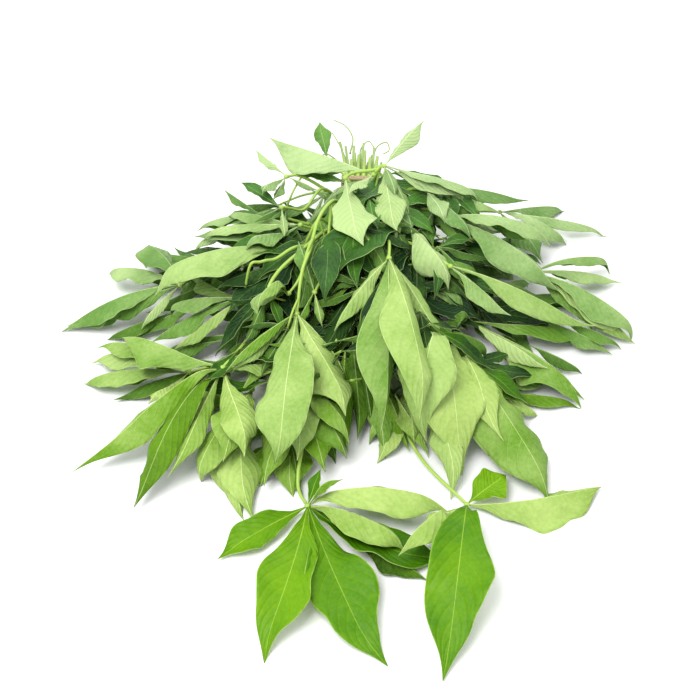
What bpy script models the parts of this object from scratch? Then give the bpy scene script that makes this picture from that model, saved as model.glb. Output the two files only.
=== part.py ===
"""A bunch of fresh baobab leaves, lying on a table with its tied stem ends away from the viewer.

Metres, +Z up, the table at z = 0. The cut stem ends point to +Y and the leaf fan opens to -Y.
Each leafy stem is one solid: a stem, the petioles that branch from it, and on each of them a
palmate leaf whose leaflets are thin folded blades. The stems are laid down one after another,
and every blade is lifted until it lies clear on what is already there, as leaves do in a pile.
"""

import math
from dataclasses import dataclass, field

import bmesh
import bpy
import numpy as np

MM = 0.001

# The view that the bunch is laid out for: how far off the viewer is, and how steeply it looks down
VIEW_DISTANCE = 1.15
VIEW_TILT = math.radians(45)

# Blades of the leaflets
BLADE_THICKNESS = 0.9 * MM
STATIONS = (0.0, 0.22, 0.48, 0.76, 1.0)
OUTLINE = (
    (0.0, 0.02), (0.1, 0.07), (0.2, 0.18), (0.35, 0.75), (0.5, 0.98),
    (0.6, 1.0), (0.72, 0.88), (0.83, 0.56), (0.92, 0.22), (1.0, 0.0),
)
SHORTEST, LONGEST = 30 * MM, 185 * MM
BASE_FOLD_SHARE = 0.25
BASE_FOLD_REACH = 0.3
LEAST_FOLD_SHARE = 0.3
OWN_REACH = 9 * MM
BASE_OUT = 1.2 * MM
BASE_STEP = 0.6 * MM
HUB_TRIES = 14
SINK_TURNS = 24
AIM_TURNS = 36
MOST_TURNS = 80
HUB_STEP = 3 * MM

# Stems, petioles and the knuckles where leaflets meet
STEM_RADIUS = 2.1 * MM
PETIOLE_RADIUS = 1.4 * MM
HUB_RADIUS = 3.0 * MM
STEM_POINTS = 7
PETIOLE_POINTS = 5

# The tied bundle
TIE_AT = (10 * MM, 188 * MM)
TIE_HEIGHT = 14 * MM
ROW_SIZES = (6, 5, 6, 5, 6)
COLUMN_PITCH = 5.2 * MM
ROW_PITCH = 4.8 * MM
TAIL_LENGTH = 56 * MM
TAIL_RISE = 14 * MM
TAIL_SPREAD = 1.35
STRAIGHT_RUN = 22 * MM
BEHIND_TIE = 6 * MM
# No blade lies in the box round the bundle: how far it reaches each side of the tie, and in front
BUNDLE_SIDE = 24 * MM
BUNDLE_FRONT = 26 * MM

# How closely things lie on each other
CELL = 1.3 * MM
LIE_GAP = 0.5 * MM
STRAND_GAP = 0.4 * MM
FIELD_HALF = (340 * MM, 440 * MM)
SAMPLES_ALONG_EDGE = 12
STEEPEST = 0.92

# The twine
TWINE_RADIUS = 1.4 * MM
TWINE_GAP = 0.5 * MM
TWINE_TURNS = 2
TWINE_PITCH = 2.6 * MM
KNOT_RADIUS = 2.8 * MM
CORNER_POINTS = 3

# The heap's middle, from the point that the view looks at
HEAP_CENTRE = (0 * MM, -40 * MM)

SOLVER = "MANIFOLD"
SEED = 11


@dataclass
class Leaflet:
    """One blade. Angles are in degrees, and a fold is how far a half hangs below level."""

    heading: float
    length: float
    width_share: float
    folds: tuple
    slopes: tuple = (0.0, -45.0)
    bend: float = 0.0
    flat: bool = False
    step: float = 0.0
    tip: tuple = None
    lifts: np.ndarray = field(default_factory=lambda: np.zeros(len(STATIONS)))
    opening: np.ndarray = field(default_factory=lambda: np.ones((2, len(STATIONS))))


@dataclass
class Leaf:
    """A palmate leaf: where its hub is seen, at least how high it lies, and its leaflets."""

    seen: tuple
    z: float
    leaflets: list
    branch: float = None
    via: tuple = None
    heading: float = 270.0
    hub: np.ndarray = None
    stalk: np.ndarray = None


def direction(degrees):
    return np.array([math.cos(math.radians(degrees)), math.sin(math.radians(degrees)), 0.0])


def seen_at(seen, z):
    """The point at height z that shows at (across, up) in the view, measured through the origin."""
    eye = VIEW_DISTANCE * np.array([0.0, -math.cos(VIEW_TILT), math.sin(VIEW_TILT)])
    through = np.array([seen[0], seen[1] * math.sin(VIEW_TILT), seen[1] * math.cos(VIEW_TILT)])
    share = (eye[2] - z) / (eye[2] - through[2])
    return eye + share * (through - eye)


def shown_at(point):
    """The inverse of seen_at: where a point shows in the view."""
    x, y, z = point
    depth = VIEW_DISTANCE + y * math.cos(VIEW_TILT) - z * math.sin(VIEW_TILT)
    scale = VIEW_DISTANCE / depth
    return np.array([x * scale, (y * math.sin(VIEW_TILT) + z * math.cos(VIEW_TILT)) * scale])


def placed(across, up, z, *tips, **more):
    """A leaf laid out by eye: its hub, then for each leaflet (tip across, tip up, width share, left
    fold, right fold, slope at the base, slope at the tip, bend), where all from the folds on may
    be left out."""
    leaflets = []
    for tip_across, tip_up, share, *rest in tips:
        left, right = rest[:2] if len(rest) >= 2 else (45, 45)
        slopes = rest[2:4] if len(rest) >= 4 else (2, -38)
        bend = rest[4] if len(rest) >= 5 else 0
        away = math.degrees(math.atan2(tip_up - up, tip_across - across))
        length = min(max(math.hypot(tip_across - across, tip_up - up) * MM, SHORTEST), LONGEST)
        leaflets.append(
            Leaflet(away, length, share, (left, right), slopes, bend, tip=(tip_across * MM, tip_up * MM))
        )
    heading = math.degrees(math.atan2(*np.mean([direction(l.heading)[1::-1] for l in leaflets], axis=0)))
    return Leaf((across * MM, up * MM), z * MM, leaflets, heading=heading, **more)


def fan(x, y, z, heading, size, count=6, spread=45, flat=None, **more):
    """A leaf of the hidden filling: leaflets fanned round its heading, the middle one longest. The
    leaflet numbered flat is pressed flat on the table."""
    draw = np.random.default_rng([SEED, abs(round(x)), abs(round(y)), round(z)])
    leaflets = []
    for place in np.linspace(-1, 1, count):
        length = size * MM * (1 - 0.35 * abs(place)**1.6) * draw.uniform(0.94, 1.06)
        steep, gentle = draw.uniform(24, 40), draw.uniform(2, 12)
        folds = (steep, gentle) if draw.random() < 0.5 else (gentle, steep)
        leaflets.append(
            Leaflet(
                heading=heading + spread * place + draw.uniform(-5, 5),
                length=length,
                width_share=draw.uniform(0.3, 0.36),
                folds=folds,
                slopes=(draw.uniform(-6, 6), draw.uniform(-45, -20)),
                bend=draw.uniform(-18, 18),
            )
        )
    if flat is not None:
        leaflets[flat].flat = True
    point = np.array([x, y, z]) * MM
    return Leaf(tuple(shown_at(point)), point[2], leaflets, heading=heading, **more)


def shoots():
    """The leafy stems, lowest first, each with its leaves, lowest first. The leaf without a branch
    share is the stem's end leaf; the others branch off at that share of its length."""
    return [
        [fan(-105, 98, 6, 185, 100, 4, 35)],
        [fan(-40, -75, 4, 250, 110, 4, flat=0)],
        # The two leaves that trail out in front, upper sides up
        [placed(-36, -132, 6, (-113, -177, .36, -14, -18, 8, -18),
                (25, -271, .33, -12, -18, 10, -22, 12),
                (-79, -265, .29, -16, -14, 10, -22, -20), (85, -178, .31, -10, -20, 10, -16, 60),
                (50, -168, .40, 12, 34, 22, -30), (86, -134, .36, 15, 40, 40, -40),
                (-28, -107, .34, -20, -20, 40, 10), (-6, -112, .26, 30, 30, 30, -10),
                via=(-42, -98))],
        [placed(99, -131, 6, (42, -176, .32, 15, 55, 8, -20), (81, -281, .29, -12, -18, 8, -20),
                (213, -114, .54, 60, 30, 12, -12, 34), (134, -105, .70, -10, -14, 16, -4))],
        # The fringe that lies on the table round the foot of the heap
        [fan(-100, -20, 6, 214, 115, 4),
         placed(-136, -19, 8, (-228, -31, .34, 15, 50), (-217, -11, .30, 20, 50),
                (-214, 3, .30, 20, 50), (-169, -47, .30, 30, 40), branch=.7),
         placed(-83, -34, 12, (-86, -145, .30, 60, 12, 2, -38, 25), (-130, -115, .28, 20, 50),
                (-106, -95, .30), branch=.7)],
        [placed(-42, -41, 8, (-76, -115, .28), (-22, -103, .34, 40, 20), (-3, -92, .36, 20, 40),
                (-42, -95, .30), (3, -78, .30, 20, 30))],
        [placed(47, -36, 8, (26, -97, .32, 20, 50), (14, -79, .30), (54, -81, .30), (74, -76, .30)),
         placed(108, -32, 8, (197, -47, .22, 50, 20), (142, -74, .30), (161, -59, .30),
                (174, -25, .30), branch=.6)],
        [fan(86, -26, 6, 305, 88, 4, 35)],
        [fan(120, 50, 6, 350, 105, 4)],
        [fan(100, 110, 6, 5, 95, 4, 35),
         placed(127, 117, 20, (161, 75, .30), (220, 97, .18, 50, 30), (183, 119, .36, 40, 25),
                (185, 89, .45, 50, 15), branch=.6)],
        # The middle of the heap, mostly hidden
        [fan(-80, 70, 14, 180, 100, 4),
         placed(-144, 55, 16, (-212, 23, .32, 30, 30), (-209, 66, .38, 15, 50, 2, -38, 20),
                (-178, 18, .30, 30, 30),
                (-244, 14, .35, 18, 60, 2, -38, 22), (-173, 83, .34, 30, 30), branch=.7)],
        [fan(-50, 0, 14, 230, 95, 4)],
        [fan(60, 10, 16, 305, 100, 4),
         placed(102, 24, 26, (201, -45, .46, 70, 30, 2, -38, -26), (203, 10, .26, 60, 15),
                (165, -19, .30), branch=.6)],
        [fan(75, 80, 14, 0, 100, 4),
         placed(154, 66, 16, (207, 16, .28, 50, 20), (228, 57, .28, 55, 25), (220, 69, .22, 50, 30),
                (235, 7, .32, 50, 15), (246, 8, .34, 60, 20), branch=.7)],
        # The leaves on its slopes
        [placed(89, 4, 34, (135, -47, .30, 55, 30), (173, -124, .44, 80, 32, 0, -30),
                (122, -78, .24, 50, 30))],
        [fan(-40, 66, 34, 200, 95, 4),
         placed(-75, 114, 46, (-136, 85, .30, 20, 50), (-131, 103, .30),
                (-107, 136, .34, 20, 50, 20, 10), branch=.5)],
        [placed(-90, 44, 40, (-150, -2, .30, 20, 40), (-169, 6, .33, 25, 60), (-136, 59, .30),
                (-155, 31, .33, 20, 60), branch=.6),
         placed(-108, -15, 34, (-86, -89, .30), (-149, -108, .20, 50, 50, 0, -20),
                (-178, -135, .22, 60, 30, 0, -20, 20),
                (-58, -19, .38, 15, 50), (-236, -100, .22, 35, 65, 0, -18, -28),
                (-194, 11, .46, 22, 70))],
        [fan(10, 60, 24, 265, 80, 4)],
        [fan(50, 66, 32, 330, 90, 4),
         placed(72, 4, 36, (94, -108, .30, 16, 16, 0, -40), (56, -78, .28, 16, 16), branch=.7)],
        [placed(-40, 85, 50, (-130, 93, .28, 25, 50), (-139, 66, .32, 20, 60),
                (-165, 50, .32, 20, 65))],
        [placed(78, 112, 50, (144, 95, .28, 50, 20), (171, 45, .32, 60, 20), (169, 87, .30, 60, 15))],
        [placed(85, 71, 50, (134, 27, .46, 60, 12), (205, 13, .26, 65, 20))],
        [placed(33, 78, 80, (-15, 17, .30, 15, 30), (22, -46, .32, -8, -8, -2, -42),
                (31, -73, .24, 10, 16, 0, -40), (64, -58, .26, 10, 12, 0, -42))],
        # The top
        [placed(-52, 48, 50, (-95, 17, .36, 20, 50), (-80, 34, .26, 20, 50), branch=.7),
         placed(-30, 49, 56, (-24, 20, .30), (-48, 14, .26), (-44, 93, .34, 30, 30, 35, 5),
                branch=.5),
         placed(-45, 31, 50, (-100, -20, .22, 50, 50), (-105, -18, .22, 50, 50),
                (-4, -17, .28, 50, 40), (1, -53, .40, 60, 20), (-59, -98, .26, 10, 18, 0, -40),
                via=(-27, 93))],
        [placed(-42, 106, 60, (-106, 114, .30, 20, 50), (-127, 97, .30, 20, 50), (-93, 86, .32, 20, 50),
                branch=.4),
         placed(-58, 121, 66, (-55, 95, .20, 20, 20), (-81, 108, .30), (-93, 143, .34, -15, -25, 10, 10),
                branch=.5),
         placed(-54, 147, 70, (-36, 136, .34), (-64, 127, .30), (-75, 131, .30),
                (-80, 170, .38, 20, 40, 20, 10))],
        [placed(49, 105, 60, (87, 53, .46, 25, 40, 10, -50), (-19, 60, .42, -14, -14, 8, -20),
                branch=.5),
         placed(64, 136, 64, (131, 114, .26, 50, 20), (102, 93, .26, 50, 20), (152, 123, .22, 50, 20),
                (80, 108, .30, 30, 30))],
        [placed(29, 156, 80, (97, 129, .28, 40, 15, -10, -32), (112, 125, .24, 40, 15, -10, -32),
                (53, 110, .30, 25, 10), (37, 98, .28, 10, 25), (39, 130, .24),
                (62, 196, .38, 30, 40, 30, 20))],
        [placed(-19, 161, 54, (-44, 158, .30), (-27, 194, .44, -20, -20, 45, 20), branch=.4),
         placed(-4, 146, 88, (6, 88, .38, 10, 10, 0, -48), branch=.8),
         placed(20, 149, 84, (-70, 179, .40, 24, 60, 0, -12), (-2, 131, .34, 15, 30, -10, -50))],
    ]


def half_width(u):
    return np.interp(u, [p[0] for p in OUTLINE], [p[1] for p in OUTLINE])


def free_shape(leaflet, hub):
    """How high the stations would lie above the base, if nothing were in the way. A flat leaflet
    comes down from the hub and lies on the table."""
    u = np.array(STATIONS)
    if leaflet.flat:
        leaflet.folds, leaflet.bend = (0.0, 0.0), 0.0
        return np.where(u > 0, BLADE_THICKNESS / 2 - hub[2] - leaflet.step, 0.0)
    slope = leaflet.slopes[0] + (leaflet.slopes[1] - leaflet.slopes[0]) * (u[1:] + u[:-1]) / 2
    return np.append(0.0, np.cumsum(np.diff(u) * leaflet.length * np.sin(np.radians(slope))))


def midrib(leaflet, hub):
    """The midrib's station points, and at each the way along, the way left and the way up."""
    u = np.array(STATIONS)
    step = np.diff(u) * leaflet.length
    middle = (u[1:] + u[:-1]) / 2
    shape = free_shape(leaflet, hub) + leaflet.lifts
    rise = np.clip(np.diff(shape), -STEEPEST * step, STEEPEST * step)
    level = np.sqrt(step**2 - rise**2)
    heading = np.radians(leaflet.heading + leaflet.bend * (middle - 0.3))
    moves = np.stack([level * np.cos(heading), level * np.sin(heading), rise], axis=1)
    start = hub + BASE_OUT * direction(leaflet.heading) + [0, 0, leaflet.step]
    points = start + np.concatenate([[[0.0, 0.0, 0.0]], np.cumsum(moves, axis=0)])
    along = np.gradient(points, u * leaflet.length, axis=0)
    along /= np.linalg.norm(along, axis=1)[:, None]
    left = np.cross([0.0, 0.0, 1.0], along)
    left /= np.linalg.norm(left, axis=1)[:, None]
    return points, along, left, np.cross(along, left)


def aim(leaflet, hub):
    """Turns and stretches a placed leaflet a little, so that its tip shows where it should."""
    if leaflet.tip is None:
        return
    tip = midrib(leaflet, hub)[0][-1]
    want = seen_at(leaflet.tip, tip[2])
    turn = math.atan2(*(want - hub)[1::-1]) - math.atan2(*(tip - hub)[1::-1])
    leaflet.heading += math.degrees((turn + math.pi) % (2 * math.pi) - math.pi) * 0.7
    stretch = np.linalg.norm(want - hub) / np.linalg.norm(tip - hub)
    leaflet.length = float(np.clip(leaflet.length * np.clip(stretch, 0.9, 1.1), SHORTEST, LONGEST))


class BladeTemplate:
    """A flat blade: a grid two faces wide, pointed at the tip, cut into triangles."""

    def __init__(self):
        self.mesh = bpy.data.meshes.new("blade_template")
        grid = bmesh.new()
        bmesh.ops.create_grid(grid, x_segments=2, y_segments=len(STATIONS) - 1, size=1)
        tip = [v for v in grid.verts if v.co.y > 0.99]
        bmesh.ops.pointmerge(grid, verts=tip, merge_co=(0, 1, 0))
        bmesh.ops.triangulate(grid, faces=grid.faces[:])
        for vert in grid.verts:
            vert.co.z = 0
        grid.to_mesh(self.mesh)
        grid.free()
        flat = np.array([v.co[:] for v in self.mesh.vertices])
        self.side = -np.round(flat[:, 0])
        self.station = np.round((flat[:, 1] + 1) / 2 * (len(STATIONS) - 1)).astype(int)
        self.triangles = np.array([p.vertices[:] for p in self.mesh.polygons])
        edges = [(f[k], f[k - 2]) for f in self.triangles.tolist() for k in range(3)]
        self.rim = [(a, b) for a, b in edges if (b, a) not in edges]
        n = SAMPLES_ALONG_EDGE
        self.weights = np.array(
            [(i / n, j / n, 1 - (i + j) / n) for i in range(n + 1) for j in range(n + 1 - i)]
        )
        self.segment = np.repeat(self.station[self.triangles].min(axis=1), len(self.weights))
        self.across = (self.side[self.triangles] @ self.weights.T).ravel()

    def lay(self, leaflet, hub, faces=False):
        """The template's vertices, laid along the leaflet's midrib and folded about it. With faces,
        the same for the upper and the lower face of the blade instead of its middle."""
        points, _, left, up = midrib(leaflet, hub)
        u = np.array(STATIONS)
        half = half_width(u) * leaflet.length * leaflet.width_share / 2
        ease = BASE_FOLD_SHARE + (1 - BASE_FOLD_SHARE) * np.clip(u / BASE_FOLD_REACH, 0, 1)
        hang = np.radians(np.array(leaflet.folds))[:, None] * ease * leaflet.opening
        s, side = self.station, self.side
        drop = np.where(side > 0, hang[0][s], hang[1][s]) * np.abs(side)
        out = (np.cos(drop) * side)[:, None] * left[s] - (np.sin(drop) * np.abs(side))[:, None] * up[s]
        laid = points[s] + half[s][:, None] * out
        if not faces:
            return laid
        # The midrib's own way up leans between the two halves, and reaches further where they fold
        lean, open_by = (hang[0] - hang[1]) / 2, np.cos((hang[0] + hang[1]) / 2)
        turn = np.where(side == 0, lean[s], drop * np.sign(side))
        reach = np.where(side == 0, 1 / np.clip(open_by[s], 0.6, 1), 1) * BLADE_THICKNESS / 2
        away = (np.sin(turn) * reach)[:, None] * left[s] + (np.cos(turn) * reach)[:, None] * up[s]
        return laid + away, laid - away

    def samples(self, laid):
        """Points all over the laid blade, and the half thickness there as seen from above."""
        corners = laid[self.triangles]
        normal = np.cross(corners[:, 1] - corners[:, 0], corners[:, 2] - corners[:, 0])
        normal /= np.linalg.norm(normal, axis=1)[:, None]
        half = BLADE_THICKNESS / 2 / np.clip(np.abs(normal[:, 2]), 0.2, 1)
        points = np.einsum("sk,tkc->tsc", self.weights, corners).reshape(-1, 3)
        return points, np.repeat(half, len(self.weights))


class Pile:
    """How high everything laid so far reaches, cell by cell over the table, and the strands in it.
    Blades keep off both blades and strands, and off the box round the bundle. Strands keep off
    blades by these heights and off each other by distance."""

    def __init__(self):
        size = [int(2 * half / CELL) + 1 for half in FIELD_HALF]
        self.tops = {"all": np.zeros(size), "blades": np.zeros(size)}
        self.reach = {name: top.copy() for name, top in self.tops.items()}
        self.strands = np.zeros((0, 4))

    def copy(self):
        other = Pile()
        other.tops = {name: top.copy() for name, top in self.tops.items()}
        other.reach = {name: top.copy() for name, top in self.reach.items()}
        other.strands = self.strands
        return other

    def cells(self, points):
        i = np.round((points[:, 0] + FIELD_HALF[0]) / CELL).astype(int)
        j = np.round((points[:, 1] + FIELD_HALF[1]) / CELL).astype(int)
        size = self.tops["all"].shape
        return i.clip(2, size[0] - 3), j.clip(2, size[1] - 3)

    def add(self, points, half, names=("all", "blades")):
        for name in names:
            top = self.tops[name]
            np.maximum.at(top, self.cells(points), points[:, 2] + half)
            rows = np.maximum(top, np.maximum(np.roll(top, 1, 0), np.roll(top, -1, 0)))
            self.reach[name] = np.maximum(rows, np.maximum(np.roll(rows, 1, 1), np.roll(rows, -1, 1)))

    def add_strand(self, points, radius):
        for offset in (-1, -0.6, 0, 0.6, 1):
            height = radius * math.sqrt(1 - 0.9 * offset**2)
            for way in ((1, 0), (0, 1)):
                beside = points + radius * offset * np.array([*way, 0])
                self.add(beside, height, ("all",))
        self.strands = np.concatenate([self.strands, np.column_stack([points, np.full(len(points), radius)])])

    def needed(self, points, half, off_table=BLADE_THICKNESS / 2):
        """How far each point has to rise to lie clear of what is under it, or of the bare table."""
        under = self.reach["all"][self.cells(points)]
        return np.where(under > 0, under + LIE_GAP + half, off_table) - points[:, 2]

    def strand_floor(self, points, radius):
        """How high each point along a strand has to be, for the strands laid before."""
        floor = np.full(len(points), -1.0)
        if len(self.strands):
            apart = self.strands[:, 3] + radius + STRAND_GAP
            beside = np.linalg.norm(points[:, None, :2] - self.strands[None, :, :2], axis=2)
            above = self.strands[:, 2] + np.sqrt(np.maximum(apart**2 - beside**2, 0))
            floor = np.where(beside < apart, above, -1).max(axis=1)
        return floor

    def blade_floor(self, points, below):
        """The same for the blades, for something that reaches below each point by so much."""
        under = self.reach["blades"][self.cells(points)]
        return np.where(under > 0, under + LIE_GAP + below, -1.0)


def reserved_pile():
    """An empty pile in which the box round the tied bundle is taken."""
    pile = Pile()
    x = np.arange(TIE_AT[0] - BUNDLE_SIDE, TIE_AT[0] + BUNDLE_SIDE, CELL / 2)
    y = np.arange(TIE_AT[1] - BUNDLE_FRONT, TIE_AT[1] + TAIL_LENGTH, CELL / 2)
    x, y = (grid.ravel() for grid in np.meshgrid(x, y))
    top = TIE_HEIGHT + (len(ROW_SIZES) - 1) * ROW_PITCH + STEM_RADIUS + TWINE_GAP + 2.5 * TWINE_RADIUS
    z = top + np.clip((y - TIE_AT[1]) / TAIL_LENGTH, 0, 1) * TAIL_RISE
    pile.add(np.column_stack([x, y, z]), 0.0, ("all",))
    return pile


def station_needs(segments, need):
    """The rise that each station needs, from the segments on both sides of it."""
    worst = np.full(len(STATIONS) - 1, -1.0)
    np.maximum.at(worst, segments, need)
    return np.maximum(np.append(worst, -1.0), np.append(-1.0, worst))


def settle(leaflet, hub, template, need, may_sink):
    """Bends a leaflet after what lies under it: a fold that presses on something opens, the midrib
    rises where that isn't enough, no steeper than a blade can, and while it may sink, both come back
    where there is room. Returns the rise that is needed at the base, and the rise that the base
    would need for the blade to reach over what is under it."""
    rise = station_needs(template.segment, np.where(np.abs(template.across) <= 0.3, need, -1))
    for k, sign in enumerate((1, -1)):
        side = station_needs(template.segment, np.where(template.across * sign > 0.3, need, -1))
        opening = leaflet.opening[k]
        tight = (side > 0) & (opening > LEAST_FOLD_SHARE) & (leaflet.folds[k] > 0)
        opening[tight] -= 0.13
        if may_sink:
            opening[side < -3 * MM] += 0.05
            np.minimum(opening, 1, out=opening)
        rise = np.maximum(rise, np.where(tight, -1 * MM, side))
    if leaflet.flat:
        return rise[0], 0.0
    free = free_shape(leaflet, hub)
    sink = -2 * MM if may_sink else 0.0
    shape = np.maximum(free + leaflet.lifts + np.maximum(rise, sink), free)
    way = np.array(STATIONS) * leaflet.length
    climb = STEEPEST * np.abs(way[:, None] - way[None, 1:])
    wanted = (shape[None, 1:] - climb).max(axis=1)
    leaflet.lifts[1:] = np.maximum(np.minimum(wanted, STEEPEST * way) - free, 0)[1:]
    return rise[0], wanted[0]


def drape_leaf(leaf, pile, template):
    """Finds how high the hub has to be, then lays the leaflets one by one, each clear of the pile
    and of those before it."""
    height = leaf.z
    for number, leaflet in enumerate(leaf.leaflets):
        leaflet.step = BASE_STEP * (1 if number % 2 else -1)
        for _ in range(12):
            aim(leaflet, seen_at(leaf.seen, height))
    for turn in range(MOST_TURNS):
        may_sink = turn < SINK_TURNS
        hub = seen_at(leaf.seen, height)
        rise = pile.needed(hub[None, :], np.array([HUB_RADIUS * 1.1]), HUB_RADIUS)[0]
        for leaflet in leaf.leaflets:
            aim(leaflet, hub)
            points, half = template.samples(template.lay(leaflet, hub))
            rise = max(rise, *settle(leaflet, hub, template, pile.needed(points, half), may_sink))
        height = max(leaf.z, height + max(rise, -1 * MM if may_sink else 0))
        if not may_sink and rise <= 0:
            break
    for _ in range(HUB_TRIES):
        leaf.hub = seen_at(leaf.seen, height)
        worst = lay_leaflets(leaf, pile, template)
        if worst <= 1e-6:
            return
        height += min(worst + 0.3 * MM, HUB_STEP)
    print(f"the leaf seen at {leaf.seen} presses by {worst / MM:.1f} mm")


def lay_leaflets(leaf, pile, template):
    """Lays the leaflets from a fixed hub. Returns how deep the worst still presses on the pile."""
    hub, own, worst = leaf.hub, Pile(), 0.0
    for leaflet in leaf.leaflets:
        for turn in range(MOST_TURNS):
            may_sink = turn < SINK_TURNS
            if turn < AIM_TURNS:
                aim(leaflet, hub)
            points, half = template.samples(template.lay(leaflet, hub))
            other = pile.needed(points, half)
            beyond = np.linalg.norm(points[:, :2] - hub[:2], axis=1) > OWN_REACH
            need = np.maximum(other, np.where(beyond, own.needed(points, half), -1))
            if need.max() <= 1e-6 and not may_sink:
                break
            base, _ = settle(leaflet, hub, template, need, may_sink)
            leaflet.lifts[1] += max(base, 0)
        worst = max(worst, other.max())
        own.add(points, half)
    return worst


def leaf_samples(leaf, template):
    sampled = [template.samples(template.lay(leaflet, leaf.hub)) for leaflet in leaf.leaflets]
    points = np.concatenate([s[0] for s in sampled] + [leaf.hub[None, :]])
    return points, np.concatenate([s[1] for s in sampled] + [[HUB_RADIUS]])


def smooth_route(start, leave, arrive, end, count):
    """Points of a cubic Bezier curve from start to end."""
    t = np.linspace(0, 1, count)[:, None]
    reach = np.linalg.norm(end - start)
    a, b = start + leave * reach * 0.32, end - arrive * reach * 0.32
    return (1 - t)**3 * start + 3 * (1 - t)**2 * t * a + 3 * (1 - t) * t**2 * b + t**3 * end


def along_route(route, count=200):
    """Points evenly along a route, with the number of the route's point before each."""
    place = np.linspace(0, len(route) - 1, count)
    points = np.column_stack([np.interp(place, range(len(route)), route[:, c]) for c in range(3)])
    return points, np.floor(place).astype(int).clip(0, len(route) - 2)


def drape_strand(route, radius, pile, stack, free_ends, fixed=1):
    """Lifts a stem or petiole over what lies under it: over other shoots' leaves and stems, and over
    its own shoot's leaves (in stack) away from the ends that join them. Its ends stay, and fixed
    says how many points stay at its start."""
    points, low = along_route(route)
    floor = np.maximum(pile.strand_floor(points, radius), pile.blade_floor(points, radius))
    for way in ((radius, 0, 0), (-radius, 0, 0), (0, radius, 0), (0, -radius, 0)):
        floor = np.maximum(floor, pile.blade_floor(points + way, radius * 0.3))
    own = stack.blade_floor(points, radius)
    for end, reach in free_ends:
        own[np.linalg.norm(points[:, :2] - end[:2], axis=1) < reach] = -1
    floor = np.maximum(floor, own)
    for _ in range(MOST_TURNS):
        need = floor - along_route(route)[0][:, 2]
        if need.max() <= 1e-6:
            break
        rise = np.zeros(len(route))
        np.maximum.at(rise, low, np.maximum(need, 0))
        np.maximum.at(rise, low + 1, np.maximum(need, 0))
        rise[:fixed] = rise[-1] = 0
        route[:, 2] += rise
    worst = need.argmax()
    if need[worst] > 0.1 * MM:
        print(f"a strand presses by {need[worst] / MM:.1f} mm at {np.round(points[worst] / MM)}")
    return route


def bundle_slots(shoots_laid):
    """Where each stem passes through the tie: rows from the lowest shoots up, and each row in the
    order in which its leaves lie from left to right."""
    slots = [None] * len(shoots_laid)
    first = 0
    for row, size in enumerate(ROW_SIZES):
        members = list(range(first, min(first + size, len(slots))))
        first += size
        ends = {}
        for index in members:
            across, up = end_of(shoots_laid[index]).seen
            ends[index] = math.atan2(across - TIE_AT[0], TIE_AT[1] + 60 * MM - up)
        for column, index in enumerate(sorted(members, key=ends.get)):
            across = (column - (len(members) - 1) / 2) * COLUMN_PITCH
            slots[index] = np.array([TIE_AT[0] + across, TIE_AT[1], TIE_HEIGHT + row * ROW_PITCH])
    return slots


def end_of(leaves):
    return next(leaf for leaf in leaves if leaf.branch is None)


def stem_route(slot, leaf, draw):
    """From the cut end, through the tie, out to the end leaf's hub, past its via point if it has one."""
    across = slot[0] - TIE_AT[0]
    tail = draw.uniform(0.5, 1.0)
    centre_z = TIE_HEIGHT + ROW_PITCH * (len(ROW_SIZES) - 1) / 2
    backward = np.array([across * (TAIL_SPREAD - 1), TAIL_LENGTH, TAIL_RISE + (slot[2] - centre_z) * 0.3])
    tail_end = slot + backward * tail
    outward, inward = np.array([0.0, -1.0, 0.0]), direction(leaf.heading)
    start = slot + outward * STRAIGHT_RUN
    if leaf.via:
        via = seen_at(np.array(leaf.via) * MM, leaf.hub[2] + 8 * MM)
        middle = leaf.hub - start
        middle /= np.linalg.norm(middle)
        half = STEM_POINTS // 2 + 1
        front = np.concatenate([
            smooth_route(start, outward, middle, via, half),
            smooth_route(via, middle, inward, leaf.hub, half)[1:],
        ])
    else:
        front = smooth_route(start, outward, inward, leaf.hub, STEM_POINTS)
    t = np.linspace(0, 1, len(front))
    front[:, 2] = slot[2] + (leaf.hub[2] - slot[2]) * t * t * (3 - 2 * t)
    return np.concatenate([[tail_end, slot - outward * BEHIND_TIE], front])


def arrange():
    """Lays every leafy stem down in order. Returns (route, [leaf, ...]) for each."""
    template = BladeTemplate()
    pile = reserved_pile()
    laid = []
    bunch = shoots()
    slots = bundle_slots(bunch)
    for index, (leaves, slot) in enumerate(zip(bunch, slots)):
        draw = np.random.default_rng([SEED, index])
        stack = pile.copy()
        for leaf in leaves:
            drape_leaf(leaf, stack, template)
            stack.add(*leaf_samples(leaf, template))
        end_leaf = end_of(leaves)
        route = stem_route(slot, end_leaf, draw)
        ends = [(end_leaf.hub, 25 * MM)]
        route = drape_strand(route, STEM_RADIUS, pile, stack, ends, fixed=3)
        stack.add_strand(along_route(route)[0], STEM_RADIUS)
        for leaf in leaves:
            if leaf is end_leaf:
                continue
            start = np.array(
                [np.interp(leaf.branch * (len(route) - 1), range(len(route)), route[:, c]) for c in range(3)]
            )
            way = leaf.hub - start
            way[2] = 0
            way /= np.linalg.norm(way)
            stalk = smooth_route(start, way, direction(leaf.heading), leaf.hub, PETIOLE_POINTS)
            ends = [(start, 16 * MM), (leaf.hub, 22 * MM)]
            leaf.stalk = drape_strand(stalk, PETIOLE_RADIUS, pile, stack, ends)
            stack.add_strand(along_route(leaf.stalk)[0], PETIOLE_RADIUS)
        pile = stack
        laid.append((route, leaves))
    return laid, template


def new_object(name, mesh, collection):
    thing = bpy.data.objects.new(name, mesh)
    collection.objects.link(thing)
    return thing


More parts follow.
